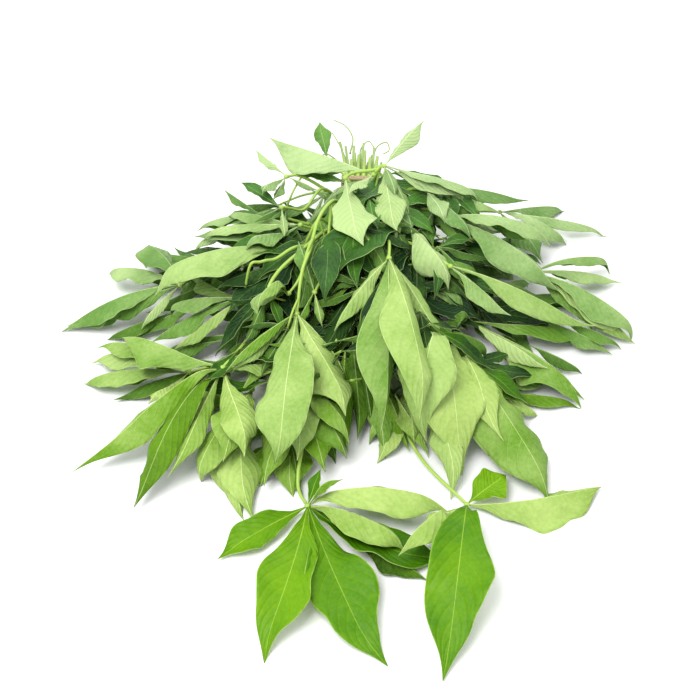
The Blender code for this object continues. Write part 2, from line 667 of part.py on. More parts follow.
def tube(name, route, radius, collection, closed=False):
    """A round strand along a route, as a closed mesh."""
    curve = bpy.data.curves.new(name, "CURVE")
    curve.dimensions = "3D"
    curve.bevel_depth = radius
    curve.bevel_resolution = 1
    curve.use_fill_caps = not closed
    spline = curve.splines.new("POLY")
    spline.points.add(len(route) - 1)
    for point, place in zip(spline.points, route):
        point.co = (*place, 1)
    spline.use_cyclic_u = closed
    thing = new_object(name, curve, collection)
    bpy.context.view_layer.update()
    mesh = bpy.data.meshes.new_from_object(thing.evaluated_get(bpy.context.evaluated_depsgraph_get()))
    bpy.data.objects.remove(thing)
    bpy.data.curves.remove(curve)
    weld(mesh)
    return new_object(name, mesh, collection)


def ball(name, centre, radius, collection):
    mesh = bpy.data.meshes.new(name)
    body = bmesh.new()
    bmesh.ops.create_icosphere(body, subdivisions=1, radius=radius)
    bmesh.ops.translate(body, verts=body.verts, vec=centre)
    body.to_mesh(mesh)
    body.free()
    return new_object(name, mesh, collection)


def blade(name, leaflet, hub, template, collection):
    """One leaflet: the template laid in place twice, as its upper and its lower face, and a rim."""
    upper, lower = template.lay(leaflet, hub, faces=True)
    count = len(upper)
    faces = [tuple(face) for face in template.triangles]
    faces += [tuple(count + vert for vert in reversed(face)) for face in template.triangles]
    for a, b in template.rim:
        faces += [(b, a, count + a), (b, count + a, count + b)]
    mesh = bpy.data.meshes.new(name)
    mesh.from_pydata([tuple(place) for place in (*upper, *lower)], [], faces)
    return new_object(name, mesh, collection)


def weld(mesh, distance=0.01 * MM):
    body = bmesh.new()
    body.from_mesh(mesh)
    bmesh.ops.remove_doubles(body, verts=body.verts, dist=distance)
    bmesh.ops.dissolve_degenerate(body, edges=body.edges, dist=distance)
    bmesh.ops.triangulate(body, faces=body.faces)
    bmesh.ops.recalc_face_normals(body, faces=body.faces)
    body.to_mesh(mesh)
    body.free()


def tidy(mesh):
    """Cuts the many-sided faces that the union left into triangles. Where two of them would get the
    same diagonal, they are fanned from their middle instead."""
    fanned = set()
    for _ in range(6):
        body = bmesh.new()
        body.from_mesh(mesh)
        body.faces.ensure_lookup_table()
        corners = [{vert.index for vert in face.verts} for face in body.faces]
        bmesh.ops.poke(body, faces=[body.faces[k] for k in fanned])
        bmesh.ops.triangulate(body, faces=body.faces)
        body.verts.index_update()
        shared = [{v.index for v in edge.verts} for edge in body.edges if len(edge.link_faces) > 2]
        again = {k for k, face in enumerate(corners) if len(face) > 3 and any(e <= face for e in shared)}
        if not again - fanned:
            break
        fanned |= again
        body.free()
    body.to_mesh(mesh)
    body.free()


def apply_modifiers(thing):
    bpy.context.view_layer.update()
    done = thing.evaluated_get(bpy.context.evaluated_depsgraph_get())
    old, thing.data = thing.data, bpy.data.meshes.new_from_object(done)
    thing.modifiers.clear()
    bpy.data.meshes.remove(old)


def fuse(name, body, collection, material):
    """Joins everything in the collection with the body in one Boolean, and clears the collection."""
    join = body.modifiers.new("join", "BOOLEAN")
    join.operation = "UNION"
    join.operand_type = "COLLECTION"
    join.collection = collection
    join.solver = SOLVER
    apply_modifiers(body)
    tidy(body.data)
    for thing in list(collection.objects):
        bpy.data.objects.remove(thing)
    bpy.data.collections.remove(collection)
    body.name = body.data.name = name
    body.data.materials.clear()
    body.data.materials.append(material)
    return body


def leafy_stem(name, route, leaves, template, material, bunch):
    """One shoot: its stem, petioles, knuckles and leaflets, fused."""
    parts = bpy.data.collections.new(name + "_parts")
    bpy.context.scene.collection.children.link(parts)
    body = tube(name, route, STEM_RADIUS, bunch)
    for leaf in leaves:
        if leaf.stalk is not None:
            tube("petiole", leaf.stalk, PETIOLE_RADIUS, parts)
        ball("knuckle", leaf.hub, HUB_RADIUS, parts)
        for leaflet in leaf.leaflets:
            blade("leaflet", leaflet, leaf.hub, template, parts)
    return fuse(name, body, parts, material)


def tie_route(offset):
    """A rounded rectangle round the bundle, in the plane across it."""
    corner = STEM_RADIUS + TWINE_GAP + TWINE_RADIUS
    half_x = (max(ROW_SIZES) - 1) / 2 * COLUMN_PITCH
    half_z = (len(ROW_SIZES) - 1) / 2 * ROW_PITCH
    route = []
    for quarter, (sx, sz) in enumerate(((1, 1), (-1, 1), (-1, -1), (1, -1))):
        for k in range(CORNER_POINTS):
            turn = math.radians(90 * (quarter + k / (CORNER_POINTS - 1)))
            x = sx * half_x + corner * math.cos(turn)
            z = sz * half_z + corner * math.sin(turn)
            route.append((TIE_AT[0] + x, TIE_AT[1] + offset, TIE_HEIGHT + half_z + z))
    return route


def tie(material, bunch):
    """Twine wound round the bundle, with its knot at the right-hand side and two short ends."""
    parts = bpy.data.collections.new("tie_parts")
    bpy.context.scene.collection.children.link(parts)
    offsets = [(k - (TWINE_TURNS - 1) / 2) * TWINE_PITCH for k in range(TWINE_TURNS)]
    body = tube("tie", tie_route(offsets[0]), TWINE_RADIUS, bunch, closed=True)
    for offset in offsets[1:]:
        tube("turn", tie_route(offset), TWINE_RADIUS, parts, closed=True)
    side = max(ROW_SIZES) / 2 * COLUMN_PITCH + TWINE_RADIUS
    middle = TIE_HEIGHT + (len(ROW_SIZES) - 1) / 2 * ROW_PITCH
    knot = np.array([TIE_AT[0] + side + TWINE_RADIUS, TIE_AT[1], middle])
    ball("knot", knot, KNOT_RADIUS, parts)
    for way in ((4, -9, -12), (5, 10, -10)):
        end = np.array(way) * MM
        tube("end", [knot, knot + end * 0.5 + [1.5 * MM, 0, 1 * MM], knot + end], TWINE_RADIUS * 0.8, parts)
    return fuse("tie", body, parts, material)


def plain_material(name, color, roughness):
    material = bpy.data.materials.new(name)
    material.use_nodes = True
    shader = material.node_tree.nodes["Principled BSDF"]
    shader.inputs["Base Color"].default_value = (*color, 1)
    shader.inputs["Roughness"].default_value = roughness
    shader.inputs["Metallic"].default_value = 0
    return material


def main():
    for thing in list(bpy.data.objects):
        bpy.data.objects.remove(thing)
    pale = plain_material("leaf_underside", (0.33, 0.47, 0.18), 0.6)
    bright = plain_material("leaf_upper_side", (0.13, 0.36, 0.03), 0.45)
    straw = plain_material("twine", (0.55, 0.42, 0.24), 0.9)
    laid, template = arrange()
    bunch = bpy.data.collections.new("bunch_of_baobab_leaves")
    bpy.context.scene.collection.children.link(bunch)
    pieces = []
    for number, (route, leaves) in enumerate(laid, start=1):
        material = bright if number in (3, 4) else pale
        pieces.append(leafy_stem(f"leafy_stem_{number:02d}", route, leaves, template, material, bunch))
    pieces.append(tie(straw, bunch))
    bpy.data.meshes.remove(template.mesh)
    shift = np.array([-HEAP_CENTRE[0], -HEAP_CENTRE[1], 0.0])
    for piece in pieces:
        for vert in piece.data.vertices:
            vert.co = np.array(vert.co) + shift
        print(piece.name, len(piece.data.polygons), "triangles")
    print(sum(len(piece.data.polygons) for piece in pieces), "triangles in all")


if __name__ == "__main__":
    main()
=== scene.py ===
# %% [markdown]
# # A bunch of baobab leaves
# Fresh baobab leaves are sold in bunches. Each young shoot carries a few hand-shaped (palmate)
# leaves, and their leaflets wilt a little and fold down along the midrib, so that the pale
# undersides show. This file dresses a packed model of such a bunch. It lies on a table with its
# tied stem ends at the back, and two leaves trail out in front with their bright upper sides up.
# The packed model is loaded first.

# %% Load the packed model
import math
from dataclasses import dataclass, field

import bmesh
import bpy
import numpy as np
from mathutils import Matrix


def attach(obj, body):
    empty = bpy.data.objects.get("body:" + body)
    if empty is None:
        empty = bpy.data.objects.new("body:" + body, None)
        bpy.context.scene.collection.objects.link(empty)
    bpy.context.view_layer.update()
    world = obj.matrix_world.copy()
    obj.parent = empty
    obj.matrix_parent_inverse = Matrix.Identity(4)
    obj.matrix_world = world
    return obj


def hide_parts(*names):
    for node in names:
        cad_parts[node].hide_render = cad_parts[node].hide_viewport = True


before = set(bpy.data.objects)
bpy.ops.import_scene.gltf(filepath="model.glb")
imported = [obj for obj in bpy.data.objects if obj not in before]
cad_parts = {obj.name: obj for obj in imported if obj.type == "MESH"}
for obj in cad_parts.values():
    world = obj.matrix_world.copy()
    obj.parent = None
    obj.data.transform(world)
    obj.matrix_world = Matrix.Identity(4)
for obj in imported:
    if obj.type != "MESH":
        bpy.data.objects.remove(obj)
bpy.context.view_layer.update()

# %% [markdown]
# ## The camera
# The photograph looks down on the bunch at about 45 degrees from a bit over a metre away. All
# places in the leaf table below were read in that view, so the camera is settled first: it looks at
# a point on the table, and that point lies a little in front of the packed model's middle.

# %% Set up the camera
MM = 0.001
VIEW_DISTANCE = 1.15
VIEW_TILT = math.radians(45)
HEAP_CENTRE = (0 * MM, -40 * MM)
FOCAL_PIXELS, FRAME_PIXELS = 1357, 700
SENSOR = 36.0

bpy.ops.object.select_all(action="DESELECT")
look_at = np.array([-HEAP_CENTRE[0], -HEAP_CENTRE[1], 0.0])
away = VIEW_DISTANCE * np.array([0.0, -math.cos(VIEW_TILT), math.sin(VIEW_TILT)])
bpy.ops.object.camera_add(location=look_at + away, rotation=(math.pi / 2 - VIEW_TILT, 0, 0))
camera = bpy.context.object
camera.name = "camera"
camera.data.sensor_width = SENSOR
camera.data.lens = FOCAL_PIXELS / FRAME_PIXELS * SENSOR
bpy.context.scene.camera = camera
print("camera at", [round(c, 3) for c in camera.location], "lens", round(camera.data.lens, 1))

# %% [markdown]
# ## What a leaf is, as data
# A leaflet is a thin blade that folds along its midrib. It is described by a heading, a length, a
# width, how far each half hangs, and how its midrib slopes. A leaf is a hub with its leaflets, and
# it sits at the end of a stem or branches off one. A dataclass keeps such values together, with
# plain names, which is easier to read than tuples.

# %% Describe leaflets and leaves
BLADE_THICKNESS = 0.9 * MM
STATIONS = (0.0, 0.22, 0.48, 0.76, 1.0)
SHORTEST, LONGEST = 30 * MM, 185 * MM
SEED = 11


@dataclass
class Leaflet:
    """One blade. Angles are in degrees, and a fold is how far a half hangs below level."""

    heading: float
    length: float
    width_share: float
    folds: tuple
    slopes: tuple = (0.0, -45.0)
    bend: float = 0.0
    flat: bool = False
    step: float = 0.0
    tip: tuple = None
    lifts: np.ndarray = field(default_factory=lambda: np.zeros(len(STATIONS)))
    opening: np.ndarray = field(default_factory=lambda: np.ones((2, len(STATIONS))))


@dataclass
class Leaf:
    """A palmate leaf: where its hub is seen, at least how high it lies, and its leaflets."""

    seen: tuple
    z: float
    leaflets: list
    branch: float = None
    via: tuple = None
    heading: float = 270.0
    hub: np.ndarray = None
    stalk: np.ndarray = None


print("a leaflet is followed along", len(STATIONS), "stations of its midrib")

# %% [markdown]
# ## From the picture to the table
# A leaf's hub is given by where it shows in the view, across and up from the middle, and by how high
# it lies. Following the line of sight down to that height gives the point in space. The reverse is
# wanted too: where a point in space shows.

# %% Turn seen places into points
def direction(degrees):
    return np.array([math.cos(math.radians(degrees)), math.sin(math.radians(degrees)), 0.0])


def seen_at(seen, z):
    """The point at height z that shows at (across, up) in the view, measured through the origin."""
    eye = VIEW_DISTANCE * np.array([0.0, -math.cos(VIEW_TILT), math.sin(VIEW_TILT)])
    through = np.array([seen[0], seen[1] * math.sin(VIEW_TILT), seen[1] * math.cos(VIEW_TILT)])
    share = (eye[2] - z) / (eye[2] - through[2])
    return eye + share * (through - eye)


def shown_at(point):
    """The inverse of seen_at: where a point shows in the view."""
    x, y, z = point
    depth = VIEW_DISTANCE + y * math.cos(VIEW_TILT) - z * math.sin(VIEW_TILT)
    scale = VIEW_DISTANCE / depth
    return np.array([x * scale, (y * math.sin(VIEW_TILT) + z * math.cos(VIEW_TILT)) * scale])


print("seen at the middle, 50 mm up:", np.round(seen_at((0, 0), 50 * MM), 4))


# %% [markdown]
# ## The leafy stems, one by one
# Every leaf that shows is listed, in millimetres: its hub, and for each leaflet its tip, its
# width as a share of its length, and the folds of its two halves. Below 0 a half turns up, as
# on the leaves that show their upper side. The filling underneath is laid as simple fans.

# %% Helpers to place a leaf
USUAL_FOLDS, USUAL_SLOPES = (45, 45), (2, -38)
STEEP_FOLDS, GENTLE_FOLDS, FAN_STRAY = (24, 40), (2, 12), 5
FAN_SHORTENING, FAN_LENGTHS = 0.35, (0.94, 1.06)
FAN_WIDTHS, FAN_BASES, FAN_TIPS, FAN_BENDS = (0.3, 0.36), (-6, 6), (-45, -20), (-18, 18)


def placed(across, up, z, *tips, **more):
    """A listed leaf: its hub, then for each leaflet (tip across, tip up, width share, left
    fold, right fold, slope at the base, slope at the tip, bend), where all from the folds on may
    be left out."""
    leaflets = []
    for tip_across, tip_up, share, *rest in tips:
        away = math.degrees(math.atan2(tip_up - up, tip_across - across))
        length = min(max(math.hypot(tip_across - across, tip_up - up) * MM, SHORTEST), LONGEST)
        leaflets.append(Leaflet(away, length, share, tuple(rest[:2]) or USUAL_FOLDS,
                                tuple(rest[2:4]) or USUAL_SLOPES, sum(rest[4:]),
                                tip=(tip_across * MM, tip_up * MM)))
    heading = math.degrees(math.atan2(*np.mean([direction(l.heading)[1::-1] for l in leaflets], axis=0)))
    return Leaf((across * MM, up * MM), z * MM, leaflets, heading=heading, **more)


def fan(x, y, z, heading, size, count=6, spread=45, flat=None, **more):
    """A leaf of the hidden filling: leaflets fanned round its heading, the middle one longest. The
    leaflet numbered flat is pressed flat on the table."""
    draw = np.random.default_rng([SEED, abs(round(x)), abs(round(y)), round(z)])
    leaflets = []
    for place in np.linspace(-1, 1, count):
        length = size * MM * (1 - FAN_SHORTENING * abs(place)**1.6) * draw.uniform(*FAN_LENGTHS)
        steep, gentle = draw.uniform(*STEEP_FOLDS), draw.uniform(*GENTLE_FOLDS)
        folds = (steep, gentle) if draw.random() < 0.5 else (gentle, steep)
        leaflets.append(Leaflet(heading + spread * place + draw.uniform(-FAN_STRAY, FAN_STRAY), length,
                                draw.uniform(*FAN_WIDTHS), folds,
                                (draw.uniform(*FAN_BASES), draw.uniform(*FAN_TIPS)),
                                draw.uniform(*FAN_BENDS)))
    if flat is not None:
        leaflets[flat].flat = True
    point = np.array([x, y, z]) * MM
    return Leaf(tuple(shown_at(point)), point[2], leaflets, heading=heading, **more)


print("a leaflet is", SHORTEST / MM, "to", LONGEST / MM, "mm long")

# %% [markdown]
# ## The list
# It runs from the table up, because a leaf that is laid later lies on those before it. A leaf without
# a branch share sits at its stem's end, and the others branch off at that share of its length.

# %% List the stems
def shoots():
    """The leafy stems, lowest first, each with its leaves, lowest first."""
    return [
        [fan(-105, 98, 6, 185, 100, 4, 35)],
        [fan(-40, -75, 4, 250, 110, 4, flat=0)],
        # The two leaves that trail out in front, upper sides up
        [placed(-36, -132, 6, (-113, -177, .36, -14, -18, 8, -18),
                (25, -271, .33, -12, -18, 10, -22, 12),
                (-79, -265, .29, -16, -14, 10, -22, -20), (85, -178, .31, -10, -20, 10, -16, 60),
                (50, -168, .40, 12, 34, 22, -30), (86, -134, .36, 15, 40, 40, -40),
                (-28, -107, .34, -20, -20, 40, 10), (-6, -112, .26, 30, 30, 30, -10),
                via=(-42, -98))],
        [placed(99, -131, 6, (42, -176, .32, 15, 55, 8, -20), (81, -281, .29, -12, -18, 8, -20),
                (213, -114, .54, 60, 30, 12, -12, 34), (134, -105, .70, -10, -14, 16, -4))],
        # The fringe that lies on the table round the foot of the heap
        [fan(-100, -20, 6, 214, 115, 4),
         placed(-136, -19, 8, (-228, -31, .34, 15, 50), (-217, -11, .30, 20, 50),
                (-214, 3, .30, 20, 50), (-169, -47, .30, 30, 40), branch=.7),
         placed(-83, -34, 12, (-86, -145, .30, 60, 12, 2, -38, 25), (-130, -115, .28, 20, 50),
                (-106, -95, .30), branch=.7)],
        [placed(-42, -41, 8, (-76, -115, .28), (-22, -103, .34, 40, 20), (-3, -92, .36, 20, 40),
                (-42, -95, .30), (3, -78, .30, 20, 30))],
        [placed(47, -36, 8, (26, -97, .32, 20, 50), (14, -79, .30), (54, -81, .30), (74, -76, .30)),
         placed(108, -32, 8, (197, -47, .22, 50, 20), (142, -74, .30), (161, -59, .30),
                (174, -25, .30), branch=.6)],
        [fan(86, -26, 6, 305, 88, 4, 35)],
        [fan(120, 50, 6, 350, 105, 4)],
        [fan(100, 110, 6, 5, 95, 4, 35),
         placed(127, 117, 20, (161, 75, .30), (220, 97, .18, 50, 30), (183, 119, .36, 40, 25),
                (185, 89, .45, 50, 15), branch=.6)],
        # The middle of the heap, mostly hidden
        [fan(-80, 70, 14, 180, 100, 4),
         placed(-144, 55, 16, (-212, 23, .32, 30, 30), (-209, 66, .38, 15, 50, 2, -38, 20),
                (-178, 18, .30, 30, 30),
                (-244, 14, .35, 18, 60, 2, -38, 22), (-173, 83, .34, 30, 30), branch=.7)],
        [fan(-50, 0, 14, 230, 95, 4)],
        [fan(60, 10, 16, 305, 100, 4),
         placed(102, 24, 26, (201, -45, .46, 70, 30, 2, -38, -26), (203, 10, .26, 60, 15),
                (165, -19, .30), branch=.6)],
        [fan(75, 80, 14, 0, 100, 4),
         placed(154, 66, 16, (207, 16, .28, 50, 20), (228, 57, .28, 55, 25), (220, 69, .22, 50, 30),
                (235, 7, .32, 50, 15), (246, 8, .34, 60, 20), branch=.7)],
        # The leaves on its slopes
        [placed(89, 4, 34, (135, -47, .30, 55, 30), (173, -124, .44, 80, 32, 0, -30),
                (122, -78, .24, 50, 30))],
        [fan(-40, 66, 34, 200, 95, 4),
         placed(-75, 114, 46, (-136, 85, .30, 20, 50), (-131, 103, .30),
                (-107, 136, .34, 20, 50, 20, 10), branch=.5)],
        [placed(-90, 44, 40, (-150, -2, .30, 20, 40), (-169, 6, .33, 25, 60), (-136, 59, .30),
                (-155, 31, .33, 20, 60), branch=.6),
         placed(-108, -15, 34, (-86, -89, .30), (-149, -108, .20, 50, 50, 0, -20),
                (-178, -135, .22, 60, 30, 0, -20, 20),
                (-58, -19, .38, 15, 50), (-236, -100, .22, 35, 65, 0, -18, -28),
                (-194, 11, .46, 22, 70))],
        [fan(10, 60, 24, 265, 80, 4)],
        [fan(50, 66, 32, 330, 90, 4),
         placed(72, 4, 36, (94, -108, .30, 16, 16, 0, -40), (56, -78, .28, 16, 16), branch=.7)],
        [placed(-40, 85, 50, (-130, 93, .28, 25, 50), (-139, 66, .32, 20, 60),
                (-165, 50, .32, 20, 65))],
        [placed(78, 112, 50, (144, 95, .28, 50, 20), (171, 45, .32, 60, 20), (169, 87, .30, 60, 15))],
        [placed(85, 71, 50, (134, 27, .46, 60, 12), (205, 13, .26, 65, 20))],
        [placed(33, 78, 80, (-15, 17, .30, 15, 30), (22, -46, .32, -8, -8, -2, -42),
                (31, -73, .24, 10, 16, 0, -40), (64, -58, .26, 10, 12, 0, -42))],
        # The top
        [placed(-52, 48, 50, (-95, 17, .36, 20, 50), (-80, 34, .26, 20, 50), branch=.7),
         placed(-30, 49, 56, (-24, 20, .30), (-48, 14, .26), (-44, 93, .34, 30, 30, 35, 5),
                branch=.5),
         placed(-45, 31, 50, (-100, -20, .22, 50, 50), (-105, -18, .22, 50, 50),
                (-4, -17, .28, 50, 40), (1, -53, .40, 60, 20), (-59, -98, .26, 10, 18, 0, -40),
                via=(-27, 93))],
        [placed(-42, 106, 60, (-106, 114, .30, 20, 50), (-127, 97, .30, 20, 50), (-93, 86, .32, 20, 50),
                branch=.4),
         placed(-58, 121, 66, (-55, 95, .20, 20, 20), (-81, 108, .30), (-93, 143, .34, -15, -25, 10, 10),
                branch=.5),
         placed(-54, 147, 70, (-36, 136, .34), (-64, 127, .30), (-75, 131, .30),
                (-80, 170, .38, 20, 40, 20, 10))],
        [placed(49, 105, 60, (87, 53, .46, 25, 40, 10, -50), (-19, 60, .42, -14, -14, 8, -20),
                branch=.5),
         placed(64, 136, 64, (131, 114, .26, 50, 20), (102, 93, .26, 50, 20), (152, 123, .22, 50, 20),
                (80, 108, .30, 30, 30))],
        [placed(29, 156, 80, (97, 129, .28, 40, 15, -10, -32), (112, 125, .24, 40, 15, -10, -32),
                (53, 110, .30, 25, 10), (37, 98, .28, 10, 25), (39, 130, .24),
                (62, 196, .38, 30, 40, 30, 20))],
        [placed(-19, 161, 54, (-44, 158, .30), (-27, 194, .44, -20, -20, 45, 20), branch=.4),
         placed(-4, 146, 88, (6, 88, .38, 10, 10, 0, -48), branch=.8),
         placed(20, 149, 84, (-70, 179, .40, 24, 60, 0, -12), (-2, 131, .34, 15, 30, -10, -50))],
    ]


print(len(shoots()), "leafy stems")


# %% [markdown]
# ## A coarse blade to lay the bunch with
# How leaves lie on each other doesn't need fine blades. A grid two faces wide, pointed at the tip,
# is folded about its midrib, and points all over it are compared with the heap below.

# %% Follow a midrib
OUTLINE = (
    (0.0, 0.02), (0.1, 0.07), (0.2, 0.18), (0.35, 0.75), (0.5, 0.98),
    (0.6, 1.0), (0.72, 0.88), (0.83, 0.56), (0.92, 0.22), (1.0, 0.0),
)
BASE_OUT, STEEPEST, STRAIGHT_SHARE = 1.2 * MM, 0.92, 0.3
AIM_SHARE, AIM_STRETCH = 0.7, (0.9, 1.1)


def half_width(u):
    return np.interp(u, [p[0] for p in OUTLINE], [p[1] for p in OUTLINE])


def free_shape(leaflet, hub):
    """How high the stations would lie above the base, if nothing were in the way. A flat leaflet
    comes down from the hub and lies on the table."""
    u = np.array(STATIONS)
    if leaflet.flat:
        leaflet.folds, leaflet.bend = (0.0, 0.0), 0.0
        return np.where(u > 0, BLADE_THICKNESS / 2 - hub[2] - leaflet.step, 0.0)
    slope = leaflet.slopes[0] + (leaflet.slopes[1] - leaflet.slopes[0]) * (u[1:] + u[:-1]) / 2
    return np.append(0.0, np.cumsum(np.diff(u) * leaflet.length * np.sin(np.radians(slope))))


def midrib(leaflet, hub):
    """The midrib's station points, and at each the way left and the way up."""
    u = np.array(STATIONS)
    step = np.diff(u) * leaflet.length
    middle = (u[1:] + u[:-1]) / 2
    shape = free_shape(leaflet, hub) + leaflet.lifts
    rise = np.clip(np.diff(shape), -STEEPEST * step, STEEPEST * step)
    level = np.sqrt(step**2 - rise**2)
    heading = np.radians(leaflet.heading + leaflet.bend * (middle - STRAIGHT_SHARE))
    moves = np.stack([level * np.cos(heading), level * np.sin(heading), rise], axis=1)
    start = hub + BASE_OUT * direction(leaflet.heading) + [0, 0, leaflet.step]
    points = start + np.concatenate([[[0.0, 0.0, 0.0]], np.cumsum(moves, axis=0)])
    along = np.gradient(points, u * leaflet.length, axis=0)
    along /= np.linalg.norm(along, axis=1)[:, None]
    left = np.cross([0.0, 0.0, 1.0], along)
    left /= np.linalg.norm(left, axis=1)[:, None]
    return points, left, np.cross(along, left)


def aim(leaflet, hub):
    """Turns and stretches a placed leaflet a little, so that its tip shows where it should."""
    if leaflet.tip is None:
        return
    tip = midrib(leaflet, hub)[0][-1]
    want = seen_at(leaflet.tip, tip[2])
    turn = math.atan2(*(want - hub)[1::-1]) - math.atan2(*(tip - hub)[1::-1])
    leaflet.heading += math.degrees((turn + math.pi) % (2 * math.pi) - math.pi) * AIM_SHARE
    stretch = np.linalg.norm(want - hub) / np.linalg.norm(tip - hub)
    leaflet.length = float(np.clip(leaflet.length * np.clip(stretch, *AIM_STRETCH), SHORTEST, LONGEST))


print("blade outline of", len(OUTLINE), "points")

# %% [markdown]
# ## Fold the coarse blade
# The flat grid is made once, from an operator, and its points are then worked out for each leaflet.
# A blade keeps what it needs for that: how far along and how far across each of its points lies.

# %% Shape the coarse blade
BASE_FOLD_SHARE, BASE_FOLD_REACH = 0.25, 0.3
SAMPLES_ALONG_EDGE, LEAST_LEVEL = 12, 0.2


class BladeTemplate:
    """A flat blade: a grid two faces wide, pointed at the tip, cut into triangles."""

    def __init__(self):
        mesh = bpy.data.meshes.new("blade_template")
        grid = bmesh.new()
        bmesh.ops.create_grid(grid, x_segments=2, y_segments=len(STATIONS) - 1, size=1)
        tip = [v for v in grid.verts if v.co.y > 0.99]
        bmesh.ops.pointmerge(grid, verts=tip, merge_co=(0, 1, 0))
        bmesh.ops.triangulate(grid, faces=grid.faces[:])
        grid.to_mesh(mesh)
        grid.free()
        flat = np.array([v.co[:] for v in mesh.vertices])
        self.side = -np.round(flat[:, 0])
        self.station = np.round((flat[:, 1] + 1) / 2 * (len(STATIONS) - 1)).astype(int)
        self.triangles = np.array([p.vertices[:] for p in mesh.polygons])
        bpy.data.meshes.remove(mesh)
        n = SAMPLES_ALONG_EDGE
        steps = [(i, j) for i in range(n + 1) for j in range(n + 1 - i)]
        self.weights = np.array([(i / n, j / n, 1 - (i + j) / n) for i, j in steps])
        self.segment = np.repeat(self.station[self.triangles].min(axis=1), len(self.weights))
        self.across = (self.side[self.triangles] @ self.weights.T).ravel()

    def lay(self, leaflet, hub):
        """The template's vertices, laid along the leaflet's midrib and folded about it."""
        points, left, up = midrib(leaflet, hub)
        u = np.array(STATIONS)
        half = half_width(u) * leaflet.length * leaflet.width_share / 2
        ease = BASE_FOLD_SHARE + (1 - BASE_FOLD_SHARE) * np.clip(u / BASE_FOLD_REACH, 0, 1)
        hang = np.radians(np.array(leaflet.folds))[:, None] * ease * leaflet.opening
        s, side = self.station, self.side
        drop = np.where(side > 0, hang[0][s], hang[1][s]) * np.abs(side)
        out = (np.cos(drop) * side)[:, None] * left[s] - (np.sin(drop) * np.abs(side))[:, None] * up[s]
        return points[s] + half[s][:, None] * out

    def samples(self, laid):
        """Points all over the laid blade, and the half thickness there as seen from above."""
        corners = laid[self.triangles]
        normal = np.cross(corners[:, 1] - corners[:, 0], corners[:, 2] - corners[:, 0])
        normal /= np.linalg.norm(normal, axis=1)[:, None]
        half = BLADE_THICKNESS / 2 / np.clip(np.abs(normal[:, 2]), LEAST_LEVEL, 1)
        points = np.einsum("sk,tkc->tsc", self.weights, corners).reshape(-1, 3)
        return points, np.repeat(half, len(self.weights))


print("a coarse blade is compared at", SAMPLES_ALONG_EDGE + 1, "points along each edge")

# %% [markdown]
# ## The heap as a height map
# The table is cut into small cells, and each cell remembers how high the heap reaches there. That is
# the whole trick: a new blade only has to be higher than the cells below it. Stems are also kept as
# points, because two crossing stems touch along their round sides and not along their cells.

# %% Keep the heights of the heap
CELL, FIELD_HALF = 1.3 * MM, (340 * MM, 440 * MM)
LIE_GAP, STRAND_GAP = 0.5 * MM, 0.4 * MM
STRAND_OFFSETS, STRAND_ROUNDNESS = (-1, -0.6, 0, 0.6, 1), 0.9
TIE_AT, TIE_HEIGHT = (10 * MM, 188 * MM), 14 * MM
ROW_SIZES, ROW_PITCH = (6, 5, 6, 5, 6), 4.8 * MM
TAIL_LENGTH, TAIL_RISE = 56 * MM, 14 * MM
BUNDLE_SIDE, BUNDLE_FRONT = 24 * MM, 26 * MM
STEM_RADIUS = 2.1 * MM
TWINE_RADIUS, TWINE_GAP = 1.4 * MM, 0.5 * MM


class Pile:
    """How high everything laid so far reaches, cell by cell over the table, and the strands in it.
    Blades keep off both blades and strands, and off the box round the bundle. Strands keep off
    blades by these heights and off each other by distance."""

    def __init__(self):
        size = [int(2 * half / CELL) + 1 for half in FIELD_HALF]
        self.tops = {"all": np.zeros(size), "blades": np.zeros(size)}
        self.reach = {name: top.copy() for name, top in self.tops.items()}
        self.strands = np.zeros((0, 4))

    def copy(self):
        other = Pile()
        other.tops = {name: top.copy() for name, top in self.tops.items()}
        other.reach = {name: top.copy() for name, top in self.reach.items()}
        other.strands = self.strands
        return other

    def cells(self, points):
        i = np.round((points[:, 0] + FIELD_HALF[0]) / CELL).astype(int)
        j = np.round((points[:, 1] + FIELD_HALF[1]) / CELL).astype(int)
        size = self.tops["all"].shape
        return i.clip(2, size[0] - 3), j.clip(2, size[1] - 3)

    def add(self, points, half, names=("all", "blades")):
        for name in names:
            top = self.tops[name]
            np.maximum.at(top, self.cells(points), points[:, 2] + half)
            rows = np.maximum(top, np.maximum(np.roll(top, 1, 0), np.roll(top, -1, 0)))
            self.reach[name] = np.maximum(rows, np.maximum(np.roll(rows, 1, 1), np.roll(rows, -1, 1)))

    def add_strand(self, points, radius):
        for offset in STRAND_OFFSETS:
            height = radius * math.sqrt(1 - STRAND_ROUNDNESS * offset**2)
            for way in ((1, 0, 0), (0, 1, 0)):
                self.add(points + radius * offset * np.array(way), height, ("all",))
        strand = np.column_stack([points, np.full(len(points), radius)])
        self.strands = np.concatenate([self.strands, strand])

    def needed(self, points, half, off_table=BLADE_THICKNESS / 2):
        """How far each point has to rise to lie clear of what is under it, or of the bare table."""
        under = self.reach["all"][self.cells(points)]
        return np.where(under > 0, under + LIE_GAP + half, off_table) - points[:, 2]

    def strand_floor(self, points, radius):
        """How high each point along a strand has to be, for the strands laid before."""
        floor = np.full(len(points), -1.0)
        if len(self.strands):
            apart = self.strands[:, 3] + radius + STRAND_GAP
            beside = np.linalg.norm(points[:, None, :2] - self.strands[None, :, :2], axis=2)
            above = self.strands[:, 2] + np.sqrt(np.maximum(apart**2 - beside**2, 0))
            floor = np.where(beside < apart, above, -1).max(axis=1)
        return floor

    def blade_floor(self, points, below):
        """The same for the blades, for something that reaches below each point by so much."""
        under = self.reach["blades"][self.cells(points)]
        return np.where(under > 0, under + LIE_GAP + below, -1.0)


